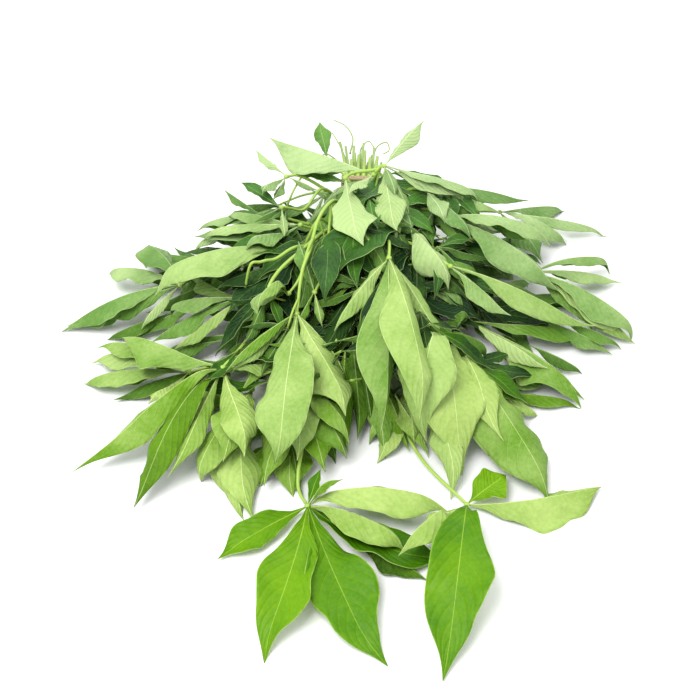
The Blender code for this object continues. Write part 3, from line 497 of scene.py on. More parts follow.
def reserved_pile():
    """An empty pile in which the box round the tied bundle is taken."""
    pile = Pile()
    x = np.arange(TIE_AT[0] - BUNDLE_SIDE, TIE_AT[0] + BUNDLE_SIDE, CELL / 2)
    y = np.arange(TIE_AT[1] - BUNDLE_FRONT, TIE_AT[1] + TAIL_LENGTH, CELL / 2)
    x, y = (grid.ravel() for grid in np.meshgrid(x, y))
    top = TIE_HEIGHT + (len(ROW_SIZES) - 1) * ROW_PITCH + STEM_RADIUS + TWINE_GAP + 2.5 * TWINE_RADIUS
    z = top + np.clip((y - TIE_AT[1]) / TAIL_LENGTH, 0, 1) * TAIL_RISE
    pile.add(np.column_stack([x, y, z]), 0.0, ("all",))
    return pile


print("the heap starts as a box round the tied stems, up to",
      round(reserved_pile().tops["all"].max() / MM), "mm high")

# %% [markdown]
# ## Letting a leaf settle
# A leaflet gives way in two steps, like a limp one: first the half that presses on something opens,
# then the midrib rises, no steeper than a blade can bend. For some turns it may also sink back, so
# that it ends up lying on the heap and not over it. The hub goes as low as its leaflets allow.

# %% Settle leaflets and leaves
LEAST_FOLD_SHARE, OPENING_STEP, CLOSING_STEP = 0.3, 0.13, 0.05
NEAR_RIB = 0.3
ROOM_TO_CLOSE, SINK_STEP, PRESSED = 3 * MM, 2 * MM, 1 * MM
OWN_REACH = 9 * MM
SINK_TURNS, AIM_TURNS, MOST_TURNS = 24, 36, 80
FIRST_AIMS, HUB_TRIES, HUB_STEP = 12, 14, 3 * MM
HUB_RADIUS, HUB_ROOM, HUB_EXTRA, BASE_STEP = 3.0 * MM, 1.1, 0.3 * MM, 0.6 * MM
CLEAR = 1e-6


def station_needs(segments, need):
    """The rise that each station needs, from the segments on both sides of it."""
    worst = np.full(len(STATIONS) - 1, -1.0)
    np.maximum.at(worst, segments, need)
    return np.maximum(np.append(worst, -1.0), np.append(-1.0, worst))


def settle(leaflet, hub, template, need, may_sink):
    """Bends a leaflet after what lies under it: a fold that presses on something opens, the midrib
    rises where that isn't enough, no steeper than a blade can, and while it may sink, both come back
    where there is room. Returns the rise that is needed at the base, and the rise that the base
    would need for the blade to reach over what is under it."""
    rise = station_needs(template.segment, np.where(np.abs(template.across) <= NEAR_RIB, need, -1))
    for k, sign in enumerate((1, -1)):
        side = station_needs(template.segment, np.where(template.across * sign > NEAR_RIB, need, -1))
        opening = leaflet.opening[k]
        tight = (side > 0) & (opening > LEAST_FOLD_SHARE) & (leaflet.folds[k] > 0)
        opening[tight] -= OPENING_STEP
        if may_sink:
            opening[side < -ROOM_TO_CLOSE] += CLOSING_STEP
            np.minimum(opening, 1, out=opening)
        rise = np.maximum(rise, np.where(tight, -PRESSED, side))
    if leaflet.flat:
        return rise[0], 0.0
    free = free_shape(leaflet, hub)
    sink = -SINK_STEP if may_sink else 0.0
    shape = np.maximum(free + leaflet.lifts + np.maximum(rise, sink), free)
    way = np.array(STATIONS) * leaflet.length
    climb = STEEPEST * np.abs(way[:, None] - way[None, 1:])
    wanted = (shape[None, 1:] - climb).max(axis=1)
    leaflet.lifts[1:] = np.maximum(np.minimum(wanted, STEEPEST * way) - free, 0)[1:]
    return rise[0], wanted[0]


def drape_leaf(leaf, pile, template):
    """Finds how high the hub has to be, then lays the leaflets one by one, each clear of the pile
    and of those before it."""
    height = leaf.z
    for number, leaflet in enumerate(leaf.leaflets):
        leaflet.step = BASE_STEP * (1 if number % 2 else -1)
        for _ in range(FIRST_AIMS):
            aim(leaflet, seen_at(leaf.seen, height))
    for turn in range(MOST_TURNS):
        may_sink = turn < SINK_TURNS
        hub = seen_at(leaf.seen, height)
        rise = pile.needed(hub[None, :], np.array([HUB_RADIUS * HUB_ROOM]), HUB_RADIUS)[0]
        for leaflet in leaf.leaflets:
            aim(leaflet, hub)
            points, half = template.samples(template.lay(leaflet, hub))
            rise = max(rise, *settle(leaflet, hub, template, pile.needed(points, half), may_sink))
        height = max(leaf.z, height + max(rise, -PRESSED if may_sink else 0))
        if not may_sink and rise <= 0:
            break
    for _ in range(HUB_TRIES):
        leaf.hub = seen_at(leaf.seen, height)
        worst = lay_leaflets(leaf, pile, template)
        if worst <= CLEAR:
            return
        height += min(worst + HUB_EXTRA, HUB_STEP)
    print(f"the leaf seen at {leaf.seen} presses by {worst / MM:.1f} mm")


def lay_leaflets(leaf, pile, template):
    """Lays the leaflets from a fixed hub. Returns how deep the worst still presses on the pile."""
    hub, own, worst = leaf.hub, Pile(), 0.0
    for leaflet in leaf.leaflets:
        for turn in range(MOST_TURNS):
            may_sink = turn < SINK_TURNS
            if turn < AIM_TURNS:
                aim(leaflet, hub)
            points, half = template.samples(template.lay(leaflet, hub))
            other = pile.needed(points, half)
            beyond = np.linalg.norm(points[:, :2] - hub[:2], axis=1) > OWN_REACH
            need = np.maximum(other, np.where(beyond, own.needed(points, half), -1))
            if need.max() <= CLEAR and not may_sink:
                break
            base, _ = settle(leaflet, hub, template, need, may_sink)
            leaflet.lifts[1] += max(base, 0)
        worst = max(worst, other.max())
        own.add(points, half)
    return worst


def leaf_samples(leaf, template):
    sampled = [template.samples(template.lay(leaflet, leaf.hub)) for leaflet in leaf.leaflets]
    points = np.concatenate([s[0] for s in sampled] + [leaf.hub[None, :]])
    return points, np.concatenate([s[1] for s in sampled] + [[HUB_RADIUS]])


print("a leaf settles in at most", MOST_TURNS, "turns")

# %% [markdown]
# ## Stems that run to the tie
# Every stem starts at its cut end, passes straight through the tie in a slot of its own and then
# curves out to its leaf. Petioles branch off it. Both are lifted over what lies under them.

# %% Route stems and petioles
BEND_REACH = 0.32
STEM_POINTS, PETIOLE_POINTS, ROUTE_SAMPLES = 7, 5, 200
SIDE_DEPTH, SHOWN_GAP = 0.3, 0.1 * MM


def smooth_route(start, leave, arrive, end, count):
    """Points of a cubic Bezier curve from start to end."""
    t = np.linspace(0, 1, count)[:, None]
    reach = np.linalg.norm(end - start)
    a, b = start + leave * reach * BEND_REACH, end - arrive * reach * BEND_REACH
    return (1 - t)**3 * start + 3 * (1 - t)**2 * t * a + 3 * (1 - t) * t**2 * b + t**3 * end


def along_route(route):
    """Points evenly along a route, with the number of the route's point before each."""
    place = np.linspace(0, len(route) - 1, ROUTE_SAMPLES)
    points = np.column_stack([np.interp(place, range(len(route)), route[:, c]) for c in range(3)])
    return points, np.floor(place).astype(int).clip(0, len(route) - 2)


def drape_strand(route, radius, pile, stack, free_ends, fixed=1):
    """Lifts a stem or petiole over what lies under it: over other shoots' leaves and stems, and over
    its own shoot's leaves (in stack) away from the ends that join them. Its ends stay, and fixed
    says how many points stay at its start."""
    points, low = along_route(route)
    floor = np.maximum(pile.strand_floor(points, radius), pile.blade_floor(points, radius))
    for way in ((radius, 0, 0), (-radius, 0, 0), (0, radius, 0), (0, -radius, 0)):
        floor = np.maximum(floor, pile.blade_floor(points + way, radius * SIDE_DEPTH))
    own = stack.blade_floor(points, radius)
    for end, reach in free_ends:
        own[np.linalg.norm(points[:, :2] - end[:2], axis=1) < reach] = -1
    floor = np.maximum(floor, own)
    for _ in range(MOST_TURNS):
        need = floor - along_route(route)[0][:, 2]
        if need.max() <= CLEAR:
            break
        rise = np.zeros(len(route))
        np.maximum.at(rise, low, np.maximum(need, 0))
        np.maximum.at(rise, low + 1, np.maximum(need, 0))
        rise[:fixed] = rise[-1] = 0
        route[:, 2] += rise
    worst = need.argmax()
    if need[worst] > SHOWN_GAP:
        print(f"a strand presses by {need[worst] / MM:.1f} mm at {np.round(points[worst] / MM)}")
    return route


print("a route is compared with the heap at", ROUTE_SAMPLES, "points")

# %% [markdown]
# ## Pass through the tie
# The stems stand in rows in the tie, as cut ends pressed together do. Each row is sorted by where
# its leaves lie, so that the stems fan out to them without crossing much.

# %% Lead the stems through the tie
COLUMN_PITCH, STRAIGHT_RUN, BEHIND_TIE = 5.2 * MM, 22 * MM, 6 * MM
TAIL_SPREAD, TAIL_LENGTHS, TAIL_LEAN = 1.35, (0.5, 1.0), 0.3
SORT_BEHIND, VIA_RISE = 60 * MM, 8 * MM


def bundle_slots(shoots_laid):
    """Where each stem passes through the tie: rows from the lowest shoots up, and each row in the
    order in which its leaves lie from left to right."""
    slots = [None] * len(shoots_laid)
    first = 0
    for row, size in enumerate(ROW_SIZES):
        members = list(range(first, min(first + size, len(slots))))
        first += size
        ends = {}
        for index in members:
            across, up = end_of(shoots_laid[index]).seen
            ends[index] = math.atan2(across - TIE_AT[0], TIE_AT[1] + SORT_BEHIND - up)
        for column, index in enumerate(sorted(members, key=ends.get)):
            across = (column - (len(members) - 1) / 2) * COLUMN_PITCH
            slots[index] = np.array([TIE_AT[0] + across, TIE_AT[1], TIE_HEIGHT + row * ROW_PITCH])
    return slots


def end_of(leaves):
    return next(leaf for leaf in leaves if leaf.branch is None)


def stem_route(slot, leaf, draw):
    """From the cut end, through the tie, out to the end leaf's hub, past its via point if it has one."""
    across = slot[0] - TIE_AT[0]
    tail = draw.uniform(*TAIL_LENGTHS)
    centre_z = TIE_HEIGHT + ROW_PITCH * (len(ROW_SIZES) - 1) / 2
    rise = TAIL_RISE + (slot[2] - centre_z) * TAIL_LEAN
    backward = np.array([across * (TAIL_SPREAD - 1), TAIL_LENGTH, rise])
    tail_end = slot + backward * tail
    outward, inward = np.array([0.0, -1.0, 0.0]), direction(leaf.heading)
    start = slot + outward * STRAIGHT_RUN
    if leaf.via:
        via = seen_at(np.array(leaf.via) * MM, leaf.hub[2] + VIA_RISE)
        middle = leaf.hub - start
        middle /= np.linalg.norm(middle)
        half = STEM_POINTS // 2 + 1
        front = np.concatenate([
            smooth_route(start, outward, middle, via, half),
            smooth_route(via, middle, inward, leaf.hub, half)[1:],
        ])
    else:
        front = smooth_route(start, outward, inward, leaf.hub, STEM_POINTS)
    t = np.linspace(0, 1, len(front))
    front[:, 2] = slot[2] + (leaf.hub[2] - slot[2]) * t * t * (3 - 2 * t)
    return np.concatenate([[tail_end, slot - outward * BEHIND_TIE], front])


print("the tie holds rows of", ROW_SIZES, "stems")


# %% [markdown]
# ## Lay the bunch
# The stems are laid down in order, lowest first, as someone making up the bunch would do it.

# %% Lay every stem
PETIOLE_RADIUS = 1.4 * MM
JOIN_AT_END, JOIN_AT_STEM, JOIN_AT_HUB = 25 * MM, 16 * MM, 22 * MM


def arrange():
    """Lays every leafy stem down in order. Returns (route, [leaf, ...]) for each."""
    template = BladeTemplate()
    pile = reserved_pile()
    laid = []
    bunch = shoots()
    slots = bundle_slots(bunch)
    for index, (leaves, slot) in enumerate(zip(bunch, slots)):
        draw = np.random.default_rng([SEED, index])
        stack = pile.copy()
        for leaf in leaves:
            drape_leaf(leaf, stack, template)
            stack.add(*leaf_samples(leaf, template))
        end_leaf = end_of(leaves)
        route = stem_route(slot, end_leaf, draw)
        route = drape_strand(route, STEM_RADIUS, pile, stack, [(end_leaf.hub, JOIN_AT_END)], fixed=3)
        stack.add_strand(along_route(route)[0], STEM_RADIUS)
        for leaf in leaves:
            if leaf is end_leaf:
                continue
            at = leaf.branch * (len(route) - 1)
            start = np.array([np.interp(at, range(len(route)), route[:, c]) for c in range(3)])
            way = leaf.hub - start
            way[2] = 0
            way /= np.linalg.norm(way)
            stalk = smooth_route(start, way, direction(leaf.heading), leaf.hub, PETIOLE_POINTS)
            ends = [(start, JOIN_AT_STEM), (leaf.hub, JOIN_AT_HUB)]
            leaf.stalk = drape_strand(stalk, PETIOLE_RADIUS, pile, stack, ends)
            stack.add_strand(along_route(leaf.stalk)[0], PETIOLE_RADIUS)
        pile = stack
        laid.append((route, leaves))
    return laid, template


laid, template = arrange()
shift = np.array([-HEAP_CENTRE[0], -HEAP_CENTRE[1], 0.0])
print(sum(len(leaf.leaflets) for _, leaves in laid for leaf in leaves), "leaflets laid")

# %% [markdown]
# ## Fine blades
# All leaflets are the same blade in other sizes and bends, so it is modelled once. A square grid is
# added, and each of its rows is scaled to the width that the leaf has there: narrow at the base,
# widest past the middle, and drawn out to a tip. The columns are moved closer together at the
# midrib, because that is where the surface is creased. A second blade has fewer rows and columns.
# It serves the leaves deep inside the heap, which are seen only through gaps.

# %% Model the blades
BLADE_ROWS, BLADE_COLUMNS = 40, (-1, -0.86, -0.7, -0.52, -0.34, -0.17, -0.05)
INNER_ROWS, INNER_COLUMNS = 20, (-1, -0.75, -0.45, -0.12)
FINE_OUTLINE = (
    (0.0, 0.035), (0.06, 0.08), (0.14, 0.18), (0.25, 0.43), (0.36, 0.70), (0.47, 0.91), (0.57, 1.0),
    (0.66, 0.94), (0.75, 0.73), (0.83, 0.46), (0.9, 0.22), (0.95, 0.10), (0.98, 0.045), (1.0, 0.012),
)


@dataclass
class Blade:
    """A flat blade to copy, and where each of its points lies along (0 to 1) and across (-1 to 1)."""

    mesh: bpy.types.Mesh
    along: np.ndarray
    across: np.ndarray


def smooth_through(knots, values, at):
    """A smooth curve through the values at the knots (a cubic piece between each two)."""
    knots, values = np.asarray(knots, float), np.asarray(values, float)
    slopes = np.gradient(values, knots, axis=0)
    k = np.clip(np.searchsorted(knots, at, side="right") - 1, 0, len(knots) - 2)
    span = knots[k + 1] - knots[k]
    t = (at - knots[k]) / span
    if values.ndim > 1:
        t, span = t[:, None], span[:, None]
    return ((2 * t**3 - 3 * t**2 + 1) * values[k] + (t**3 - 2 * t**2 + t) * span * slopes[k]
            + (3 * t**2 - 2 * t**3) * values[k + 1] + (t**3 - t**2) * span * slopes[k + 1])


def fine_half(u):
    return np.maximum(smooth_through(*zip(*FINE_OUTLINE), np.asarray(u, float)), FINE_OUTLINE[-1][1])


def select_where(thing, test):
    """Selects the points of a mesh in edit mode for which test(point) holds."""
    mesh = bmesh.from_edit_mesh(thing.data)
    for vert in mesh.verts:
        vert.select_set(False)
    for vert in mesh.verts:
        if test(vert.co):
            vert.select_set(True)
    mesh.select_flush_mode()


def model_blade(name, rows, half_columns):
    """A flat blade from y = 0 to 1, one unit wide each side at its widest."""
    count = len(half_columns)
    bpy.ops.object.select_all(action="DESELECT")
    bpy.ops.mesh.primitive_grid_add(x_subdivisions=2 * count, y_subdivisions=rows, size=2)
    thing = bpy.context.object
    bpy.ops.object.mode_set(mode="EDIT")
    bpy.ops.mesh.select_mode(type="VERT")
    bpy.ops.transform.resize(value=(1, 0.5, 1), center_override=(0, -1, 0))
    bpy.ops.transform.translate(value=(0, 1, 0))
    for k, column in enumerate(half_columns):
        even = k / count - 1
        select_where(thing, lambda place: abs(abs(place.x) + even) < 1e-4)
        bpy.ops.transform.resize(value=(column / even, 1, 1), center_override=(0, 0, 0))
    for row in range(rows + 1):
        height = row / rows
        select_where(thing, lambda place: abs(place.y - height) < 1e-4)
        bpy.ops.transform.resize(value=(float(fine_half(height)), 1, 1), center_override=(0, 0, 0))
    bpy.ops.object.mode_set(mode="OBJECT")
    mesh = thing.data
    mesh.name = name
    flat = np.array([v.co[:] for v in mesh.vertices])
    bpy.data.objects.remove(thing)
    return Blade(mesh, flat[:, 1], flat[:, 0] / fine_half(flat[:, 1]))


fine_blade = model_blade("fine_blade", BLADE_ROWS, BLADE_COLUMNS)
inner_blade = model_blade("inner_blade", INNER_ROWS, INNER_COLUMNS)
print("blades of", len(fine_blade.along), "and", len(inner_blade.along), "points")

# %% [markdown]
# ## Mark where each point of a blade is
# A blade will be bent hundreds of times over, so every point keeps its place along the leaf and
# across it. They go into a UV map, which the vein pattern reads later, because veins have to
# follow the blade however it bends.

# %% Write the blades' UV maps
def mark_places(blade):
    uv = blade.mesh.uv_layers.active or blade.mesh.uv_layers.new(name="UVMap")
    uv.name = "UVMap"
    for loop in blade.mesh.loops:
        k = loop.vertex_index
        uv.data[loop.index].uv = (blade.across[k] / 2 + 0.5, blade.along[k])
    print(blade.mesh.name, "is marked at", len(blade.mesh.loops), "corners")


for blade in (fine_blade, inner_blade):
    mark_places(blade)

# %% [markdown]
# ## Bend the blade along a leaflet
# The coarse blade gave five stations with a fold at each. The fine one runs smoothly through them.
# Real blades add what the coarse one can't show: halves that bulge instead of hanging straight, waves
# along the margin, a slight twist, and a tip that curls. All are drawn at random from a seed. The
# half that faces away from the camera is tucked down, as wilting leaves fold up.

# %% Lay a fine blade
MIDRIB_RAISE, LOWEST = 0.3 * MM, 0.3 * MM
UNEVEN, UNEVEN_TURNS = 0.11, (1.2, 3)
FOLD_SWING, FOLD_TURNS, FOLD_BULGE = 0.2, (0.6, 1.3), (0.1, 0.5)
TWIST, TWIST_TURNS = math.radians(10), (0.4, 0.9)
WAVE_SHARE, WAVE_SHARE_OPEN, WAVE_TURNS = 0.075, 0.085, (1.6, 3.2)
RIPPLE_SHARE, RIPPLE_TURNS = 0.025, (5, 8)
TIP_DROPS, TIP_TURNS = (-0.05, 0.08), (-0.06, 0.06)
TUCK_FROM, TUCK_TO, TUCK_FACING = math.radians(25), math.radians(82), 0.3
PROBE = 0.01


@dataclass
class Strip:
    """What a fine blade is laid along: a midrib of five points, and how its halves hang there."""

    stations: np.ndarray
    length: float
    width: float
    hang: np.ndarray
    shows_upper: bool
    tone: float
    tuck: float = 1.0
    waviness: float = 1.0


def turning(draw, amount, turns, u):
    """A slow random swing along the blade."""
    return amount * np.sin(2 * math.pi * draw.uniform(*turns) * u + draw.uniform(0, 2 * math.pi))


def turning_apart(draw, side, turns, u):
    """One swing for the left half of the blade and another for the right half."""
    return np.where(side > 0, turning(draw, 1, turns, u), turning(draw, 1, turns, u))


def tucked(hang, side, left, strip):
    """The half that faces away from the camera hangs steeper, where it is seen from the side."""
    facing_away = np.clip(left[:, 1] * side, 0, 1)
    wanted = TUCK_FROM + (TUCK_TO - TUCK_FROM) * facing_away
    return np.where(facing_away > TUCK_FACING, np.maximum(hang, wanted * strip.tuck), hang)


def lay_fine(strip, draw, blade):
    """The fine blade's points, along the strip's midrib, folded, waved and twisted."""
    knots, u, v, width = np.array(STATIONS), blade.along, blade.across, strip.width
    spine = smooth_through(knots, strip.stations, u)
    ahead = smooth_through(knots, strip.stations, np.minimum(u + PROBE, 1)) - smooth_through(
        knots, strip.stations, np.maximum(u - PROBE, 0))
    ahead /= np.linalg.norm(ahead, axis=1)[:, None]
    left = np.cross([0.0, 0.0, 1.0], ahead)
    left /= np.linalg.norm(left, axis=1)[:, None]
    up = np.cross(ahead, left)
    out, side = np.abs(v) * fine_half(u) * width / 2, -np.sign(v)
    out *= 1 + UNEVEN * turning_apart(draw, side, UNEVEN_TURNS, u)
    ease = BASE_FOLD_SHARE + (1 - BASE_FOLD_SHARE) * np.clip(u / BASE_FOLD_REACH, 0, 1)
    hang = np.where(side > 0, *(smooth_through(knots, half, u) for half in strip.hang))
    if not strip.shows_upper:
        hang = tucked(hang, side, left, strip)
    hang = hang * ease * (1 + turning(draw, FOLD_SWING, FOLD_TURNS, u))
    hang *= 1 + draw.uniform(*FOLD_BULGE) * (np.abs(v) - 1)
    hang += side * turning(draw, TWIST, TWIST_TURNS, u) * ease
    share = WAVE_SHARE_OPEN if strip.shows_upper else WAVE_SHARE
    long_wave = turning_apart(draw, side, WAVE_TURNS, u)
    ripple = turning_apart(draw, side, RIPPLE_TURNS, u)
    wave = (long_wave * share * draw.uniform(0.5, 1) + ripple * RIPPLE_SHARE) * width
    wave *= strip.waviness * np.abs(v)**1.6 * np.sin(math.pi * np.clip(u * 1.05, 0, 1))
    tip_drop = draw.uniform(*TIP_DROPS) * strip.length * np.clip((u - 0.8) / 0.2, 0, 1)**2
    tip_turn = draw.uniform(*TIP_TURNS) * strip.length * np.clip((u - 0.72) / 0.28, 0, 1)**2
    ridge = MIDRIB_RAISE * (np.abs(v) < 0.01) * (1 - u)
    across = np.cos(hang) * out * side + np.sin(hang) * side * wave + tip_turn
    height = -np.sin(hang) * out + np.cos(hang) * wave - tip_drop + ridge
    points = spine + across[:, None] * left + height[:, None] * up
    points[:, 2] = np.maximum(points[:, 2], LOWEST)
    return points


print("waves up to", WAVE_SHARE_OPEN, "of a blade's width")

# %% [markdown]
# ## From a laid leaflet to a strip
# A laid leaflet becomes a strip: its midrib, with its kinks levelled out a little, and how its halves
# hang. The halves of three leaflets that stand out are given, and these are waved less. Each is
# named by where its tip is seen, in millimetres.

# %% Turn leaflets into strips
LEVELLING, CALM = 0.6, 0.35
SEEN_HANGS = {(64, -58): (55, 6), (31, -73): (70, 8), (6, 88): (6, 8)}


def tip_in_mm(leaflet):
    return leaflet.tip and tuple(int(round(c / MM)) for c in leaflet.tip)


def strip_of(leaflet, hub, tone):
    folds = np.radians(np.array(leaflet.folds))[:, None]
    seen, line = tip_in_mm(leaflet), midrib(leaflet, hub)[0].copy()
    line[1:-1, 2] += LEVELLING * ((line[:-2, 2] + line[2:, 2]) / 2 - line[1:-1, 2])
    hang = folds * np.clip(leaflet.opening, 0, 1)
    if seen in SEEN_HANGS:
        hang = np.radians(SEEN_HANGS[seen])[:, None] * np.ones(len(STATIONS))
    return Strip(line, leaflet.length, leaflet.length * leaflet.width_share, hang,
                 min(leaflet.folds) < 0, tone, waviness=CALM if seen in SEEN_HANGS else 1)


print(len(SEEN_HANGS), "leaflets are set by eye")

# %% [markdown]
# ## Materials
# A leaf's two sides differ a lot. The upper side is a saturated, slightly glossy green with light
# veins in grooves. The underside is paler and matte, with the midrib standing out. Both are
# built by one function with different values. The veins are worked out from the UV map: the
# midrib is a line down the middle, and the side veins are slanted, curved lines that repeat along it.

# %% Helpers for node trees
class Tree:
    """A new material and its node tree. Each method adds a node, and most return its output."""

    def __init__(self, name, roughness):
        self.material = bpy.data.materials.new(name)
        self.material.use_nodes = True
        self.nodes, self.links = self.material.node_tree.nodes, self.material.node_tree.links
        self.shader = self.nodes["Principled BSDF"].inputs
        self.shader["Metallic"].default_value = 0
        self.shader["Roughness"].default_value = roughness

    def put(self, value, socket):
        """Gives a socket a number, a colour or another node's output."""
        if isinstance(value, bpy.types.NodeSocket):
            self.links.new(value, socket)
        else:
            socket.default_value = (*value, 1) if isinstance(value, tuple) else value

    def add(self, kind, inputs, **settings):
        """Adds a node, sets it up and fills its inputs, given by their names or numbers."""
        node = self.nodes.new("ShaderNode" + kind)
        for name, value in settings.items():
            setattr(node, name, value)
        for key, value in inputs.items():
            self.put(value, node.inputs[key])
        return node

    def math(self, operation, *values, clamp=False):
        inputs = dict(enumerate(values))
        return self.add("Math", inputs, operation=operation, use_clamp=clamp).outputs[0]

    def mix(self, factor, low, high):
        """Blends two colours. The node has inputs for every data type, and those for colours are its
        sixth and seventh, counted from 0."""
        return self.add("Mix", {0: factor, 6: low, 7: high}, data_type="RGBA").outputs[2]

    def step(self, value, low, high):
        """0 below low, 1 above high (or the other way round), smooth between."""
        inputs = {"Value": value, "From Min": low, "From Max": high}
        return self.add("MapRange", inputs, interpolation_type="SMOOTHSTEP").outputs["Result"]

    def noise(self, scale, detail=2.0):
        place = self.add("TexCoord", {}).outputs["Object"]
        return self.add("TexNoise", {"Scale": scale, "Detail": detail, "Vector": place}).outputs["Fac"]

    def ramp(self, value, colors):
        """A ramp through the given colours, evenly spaced from 0 to 1."""
        node = self.add("ValToRGB", {"Fac": value})
        while len(node.color_ramp.elements) < len(colors):
            node.color_ramp.elements.new(0.5)
        for k, (element, color) in enumerate(zip(node.color_ramp.elements, colors)):
            element.position, element.color = k / (len(colors) - 1), (*color, 1)
        return node.outputs["Color"]

    def attribute(self, name):
        """A value that each point of the mesh carries under this name."""
        return self.add("Attribute", {}, attribute_name=name).outputs["Fac"]

    def relief(self, height, strength, distance):
        """Lets a height shade the surface as bumps would."""
        node = self.add("Bump", {"Height": height, "Strength": strength, "Distance": distance})
        self.put(node.outputs["Normal"], self.shader["Normal"])


print("a tree has", ", ".join(name for name in vars(Tree) if not name.startswith("_")))

# %% [markdown]
# ## Veins
# The UV map says how far across and how far along a point lies, and a mesh attribute says how far in
# millimetres it is from the midrib. The fraction of a number that grows along the leaf repeats, and
# slanting it with the distance across makes side veins of it.

# %% Work out the veins
SIDE_VEINS, OTHER_HALF_SHIFT = 12, 0.4
VEIN_SLANT, VEIN_CURVE, VEIN_WANDER = 0.15, 0.09, 0.03
RIB_AT_BASE, RIB_AT_TIP = 0.45, 0.18
VEIN_EDGES, VEIN_FADE, MARGIN_EDGES, RIB_EDGES = (0.04, 0.010), (0.95, 0.5), (0.955, 0.985), (1.15, 0.6)


def vein_masks(tree):
    """Masks for the midrib, the side veins, the margin and the fields between the veins."""
    split = tree.add("SeparateXYZ", {0: tree.add("UVMap", {}).outputs["UV"]})
    across, along = tree.math("SUBTRACT", split.outputs["X"], 0.5), split.outputs["Y"]
    out = tree.math("MULTIPLY", tree.math("ABSOLUTE", across), 2.0)
    rib = tree.math("MULTIPLY_ADD", along, RIB_AT_TIP - RIB_AT_BASE, RIB_AT_BASE)
    midrib_mask = tree.step(tree.math("DIVIDE", tree.attribute("from_rib"), rib), *RIB_EDGES)
    wander = tree.math("MULTIPLY", tree.noise(30.0), VEIN_WANDER)
    bent = tree.math("MULTIPLY", tree.math("POWER", out, 2.0), -VEIN_CURVE)
    slant = tree.math("MULTIPLY", out, -VEIN_SLANT)
    place = tree.math("ADD", tree.math("ADD", along, wander), tree.math("ADD", slant, bent))
    other_half = tree.math("GREATER_THAN", across, 0.0)
    turns = tree.math("ADD", tree.math("MULTIPLY", place, SIDE_VEINS),
                      tree.math("MULTIPLY", other_half, OTHER_HALF_SHIFT))
    near = tree.math("ABSOLUTE", tree.math("SUBTRACT", tree.math("FRACT", turns), 0.5))
    side_mask = tree.math("MULTIPLY", tree.step(near, *VEIN_EDGES), tree.step(out, *VEIN_FADE))
    return midrib_mask, side_mask, tree.step(out, *MARGIN_EDGES), tree.step(near, 0.0, 0.35)


print("a leaflet has", SIDE_VEINS, "side veins on each half")

# %% [markdown]
# ## The upper side and the underside
# Colour comes in steps: a green for how light the leaflet is, whose dark end is painted shade, then
# the side veins, the margin and the midrib over it, painted fainter where that shade is deep. Last
# comes a tint that changes from the front of the bunch to its back, a painted haze of light that
# makes the back paler. The veins also go into a bump, which sinks them on the upper side and raises
# them on the underside.

# %% Build the two leaf materials
PATCH_SCALE, PATCH_SWING, MOTTLE_SCALE, MOTTLE_SWING = 26.0, 0.7, 380.0, 0.3
FRONT_HUE, BACK_HUE = 0.496, 0.512
FRONT_SATURATION, BACK_SATURATION = 1.06, 0.82
GRAIN_SCALE, GRAIN_HEIGHT, FIELD_HEIGHT = 260.0, 0.3, 0.8
SHADED_VEINS, SHADED_RIB = 0.2, 0.15


def leaf_material(name, greens, vein, midrib_color, roughness, vein_strength, bump, gloss):
    """greens are three colours from the darkest leaves to the lightest ones; the darkest are painted
    shade for leaves deep in the heap. In that painted shade the veins and the midrib stand out less,
    and towards the back the leaves are painted cooler and paler, as a haze of light."""
    tree = Tree(name, roughness)
    midrib_mask, side_mask, margin, fields = vein_masks(tree)
    patches = tree.math("MULTIPLY_ADD", tree.noise(PATCH_SCALE, 3.0), PATCH_SWING, -PATCH_SWING / 2)
    mottle = tree.math("MULTIPLY_ADD", tree.noise(MOTTLE_SCALE, 3.0), MOTTLE_SWING, -MOTTLE_SWING / 2)
    # shade is the leaflet's tone with random patches; its dark end is painted shade, and there the veins
    # and the midrib are painted fainter.
    shade = tree.math("ADD", tree.attribute("tone"), tree.math("ADD", patches, mottle), clamp=True)
    shown = tree.math("MULTIPLY_ADD", shade, vein_strength * (1 - SHADED_VEINS),
                      vein_strength * SHADED_VEINS)
    color = tree.mix(tree.math("MULTIPLY", side_mask, shown), tree.ramp(shade, greens), vein)
    color = tree.mix(tree.math("MULTIPLY", margin, 0.5), color, vein)
    shown = tree.math("MULTIPLY_ADD", shade, 0.8, SHADED_RIB)
    color = tree.mix(tree.math("MULTIPLY", midrib_mask, shown), color, midrib_color)
    # Painted haze of light: towards the back the colour is turned paler and less saturated.
    cool = tree.attribute("cool")
    hue = tree.math("MULTIPLY_ADD", cool, BACK_HUE - FRONT_HUE, FRONT_HUE)
    saturation = tree.math("MULTIPLY_ADD", cool, BACK_SATURATION - FRONT_SATURATION, FRONT_SATURATION)
    tint = tree.add("HueSaturation", {"Hue": hue, "Saturation": saturation, "Color": color})
    tree.put(tint.outputs["Color"], tree.shader["Base Color"])
    tree.shader["Specular IOR Level"].default_value = gloss
    height = tree.math("ADD", tree.math("MULTIPLY", side_mask, bump),
                       tree.math("MULTIPLY", tree.noise(GRAIN_SCALE, 3.0), GRAIN_HEIGHT))
    height = tree.math("ADD", height, tree.math("MULTIPLY", fields, -bump * FIELD_HEIGHT))
    tree.relief(height, 0.6, 0.7 * MM)
    return tree.material


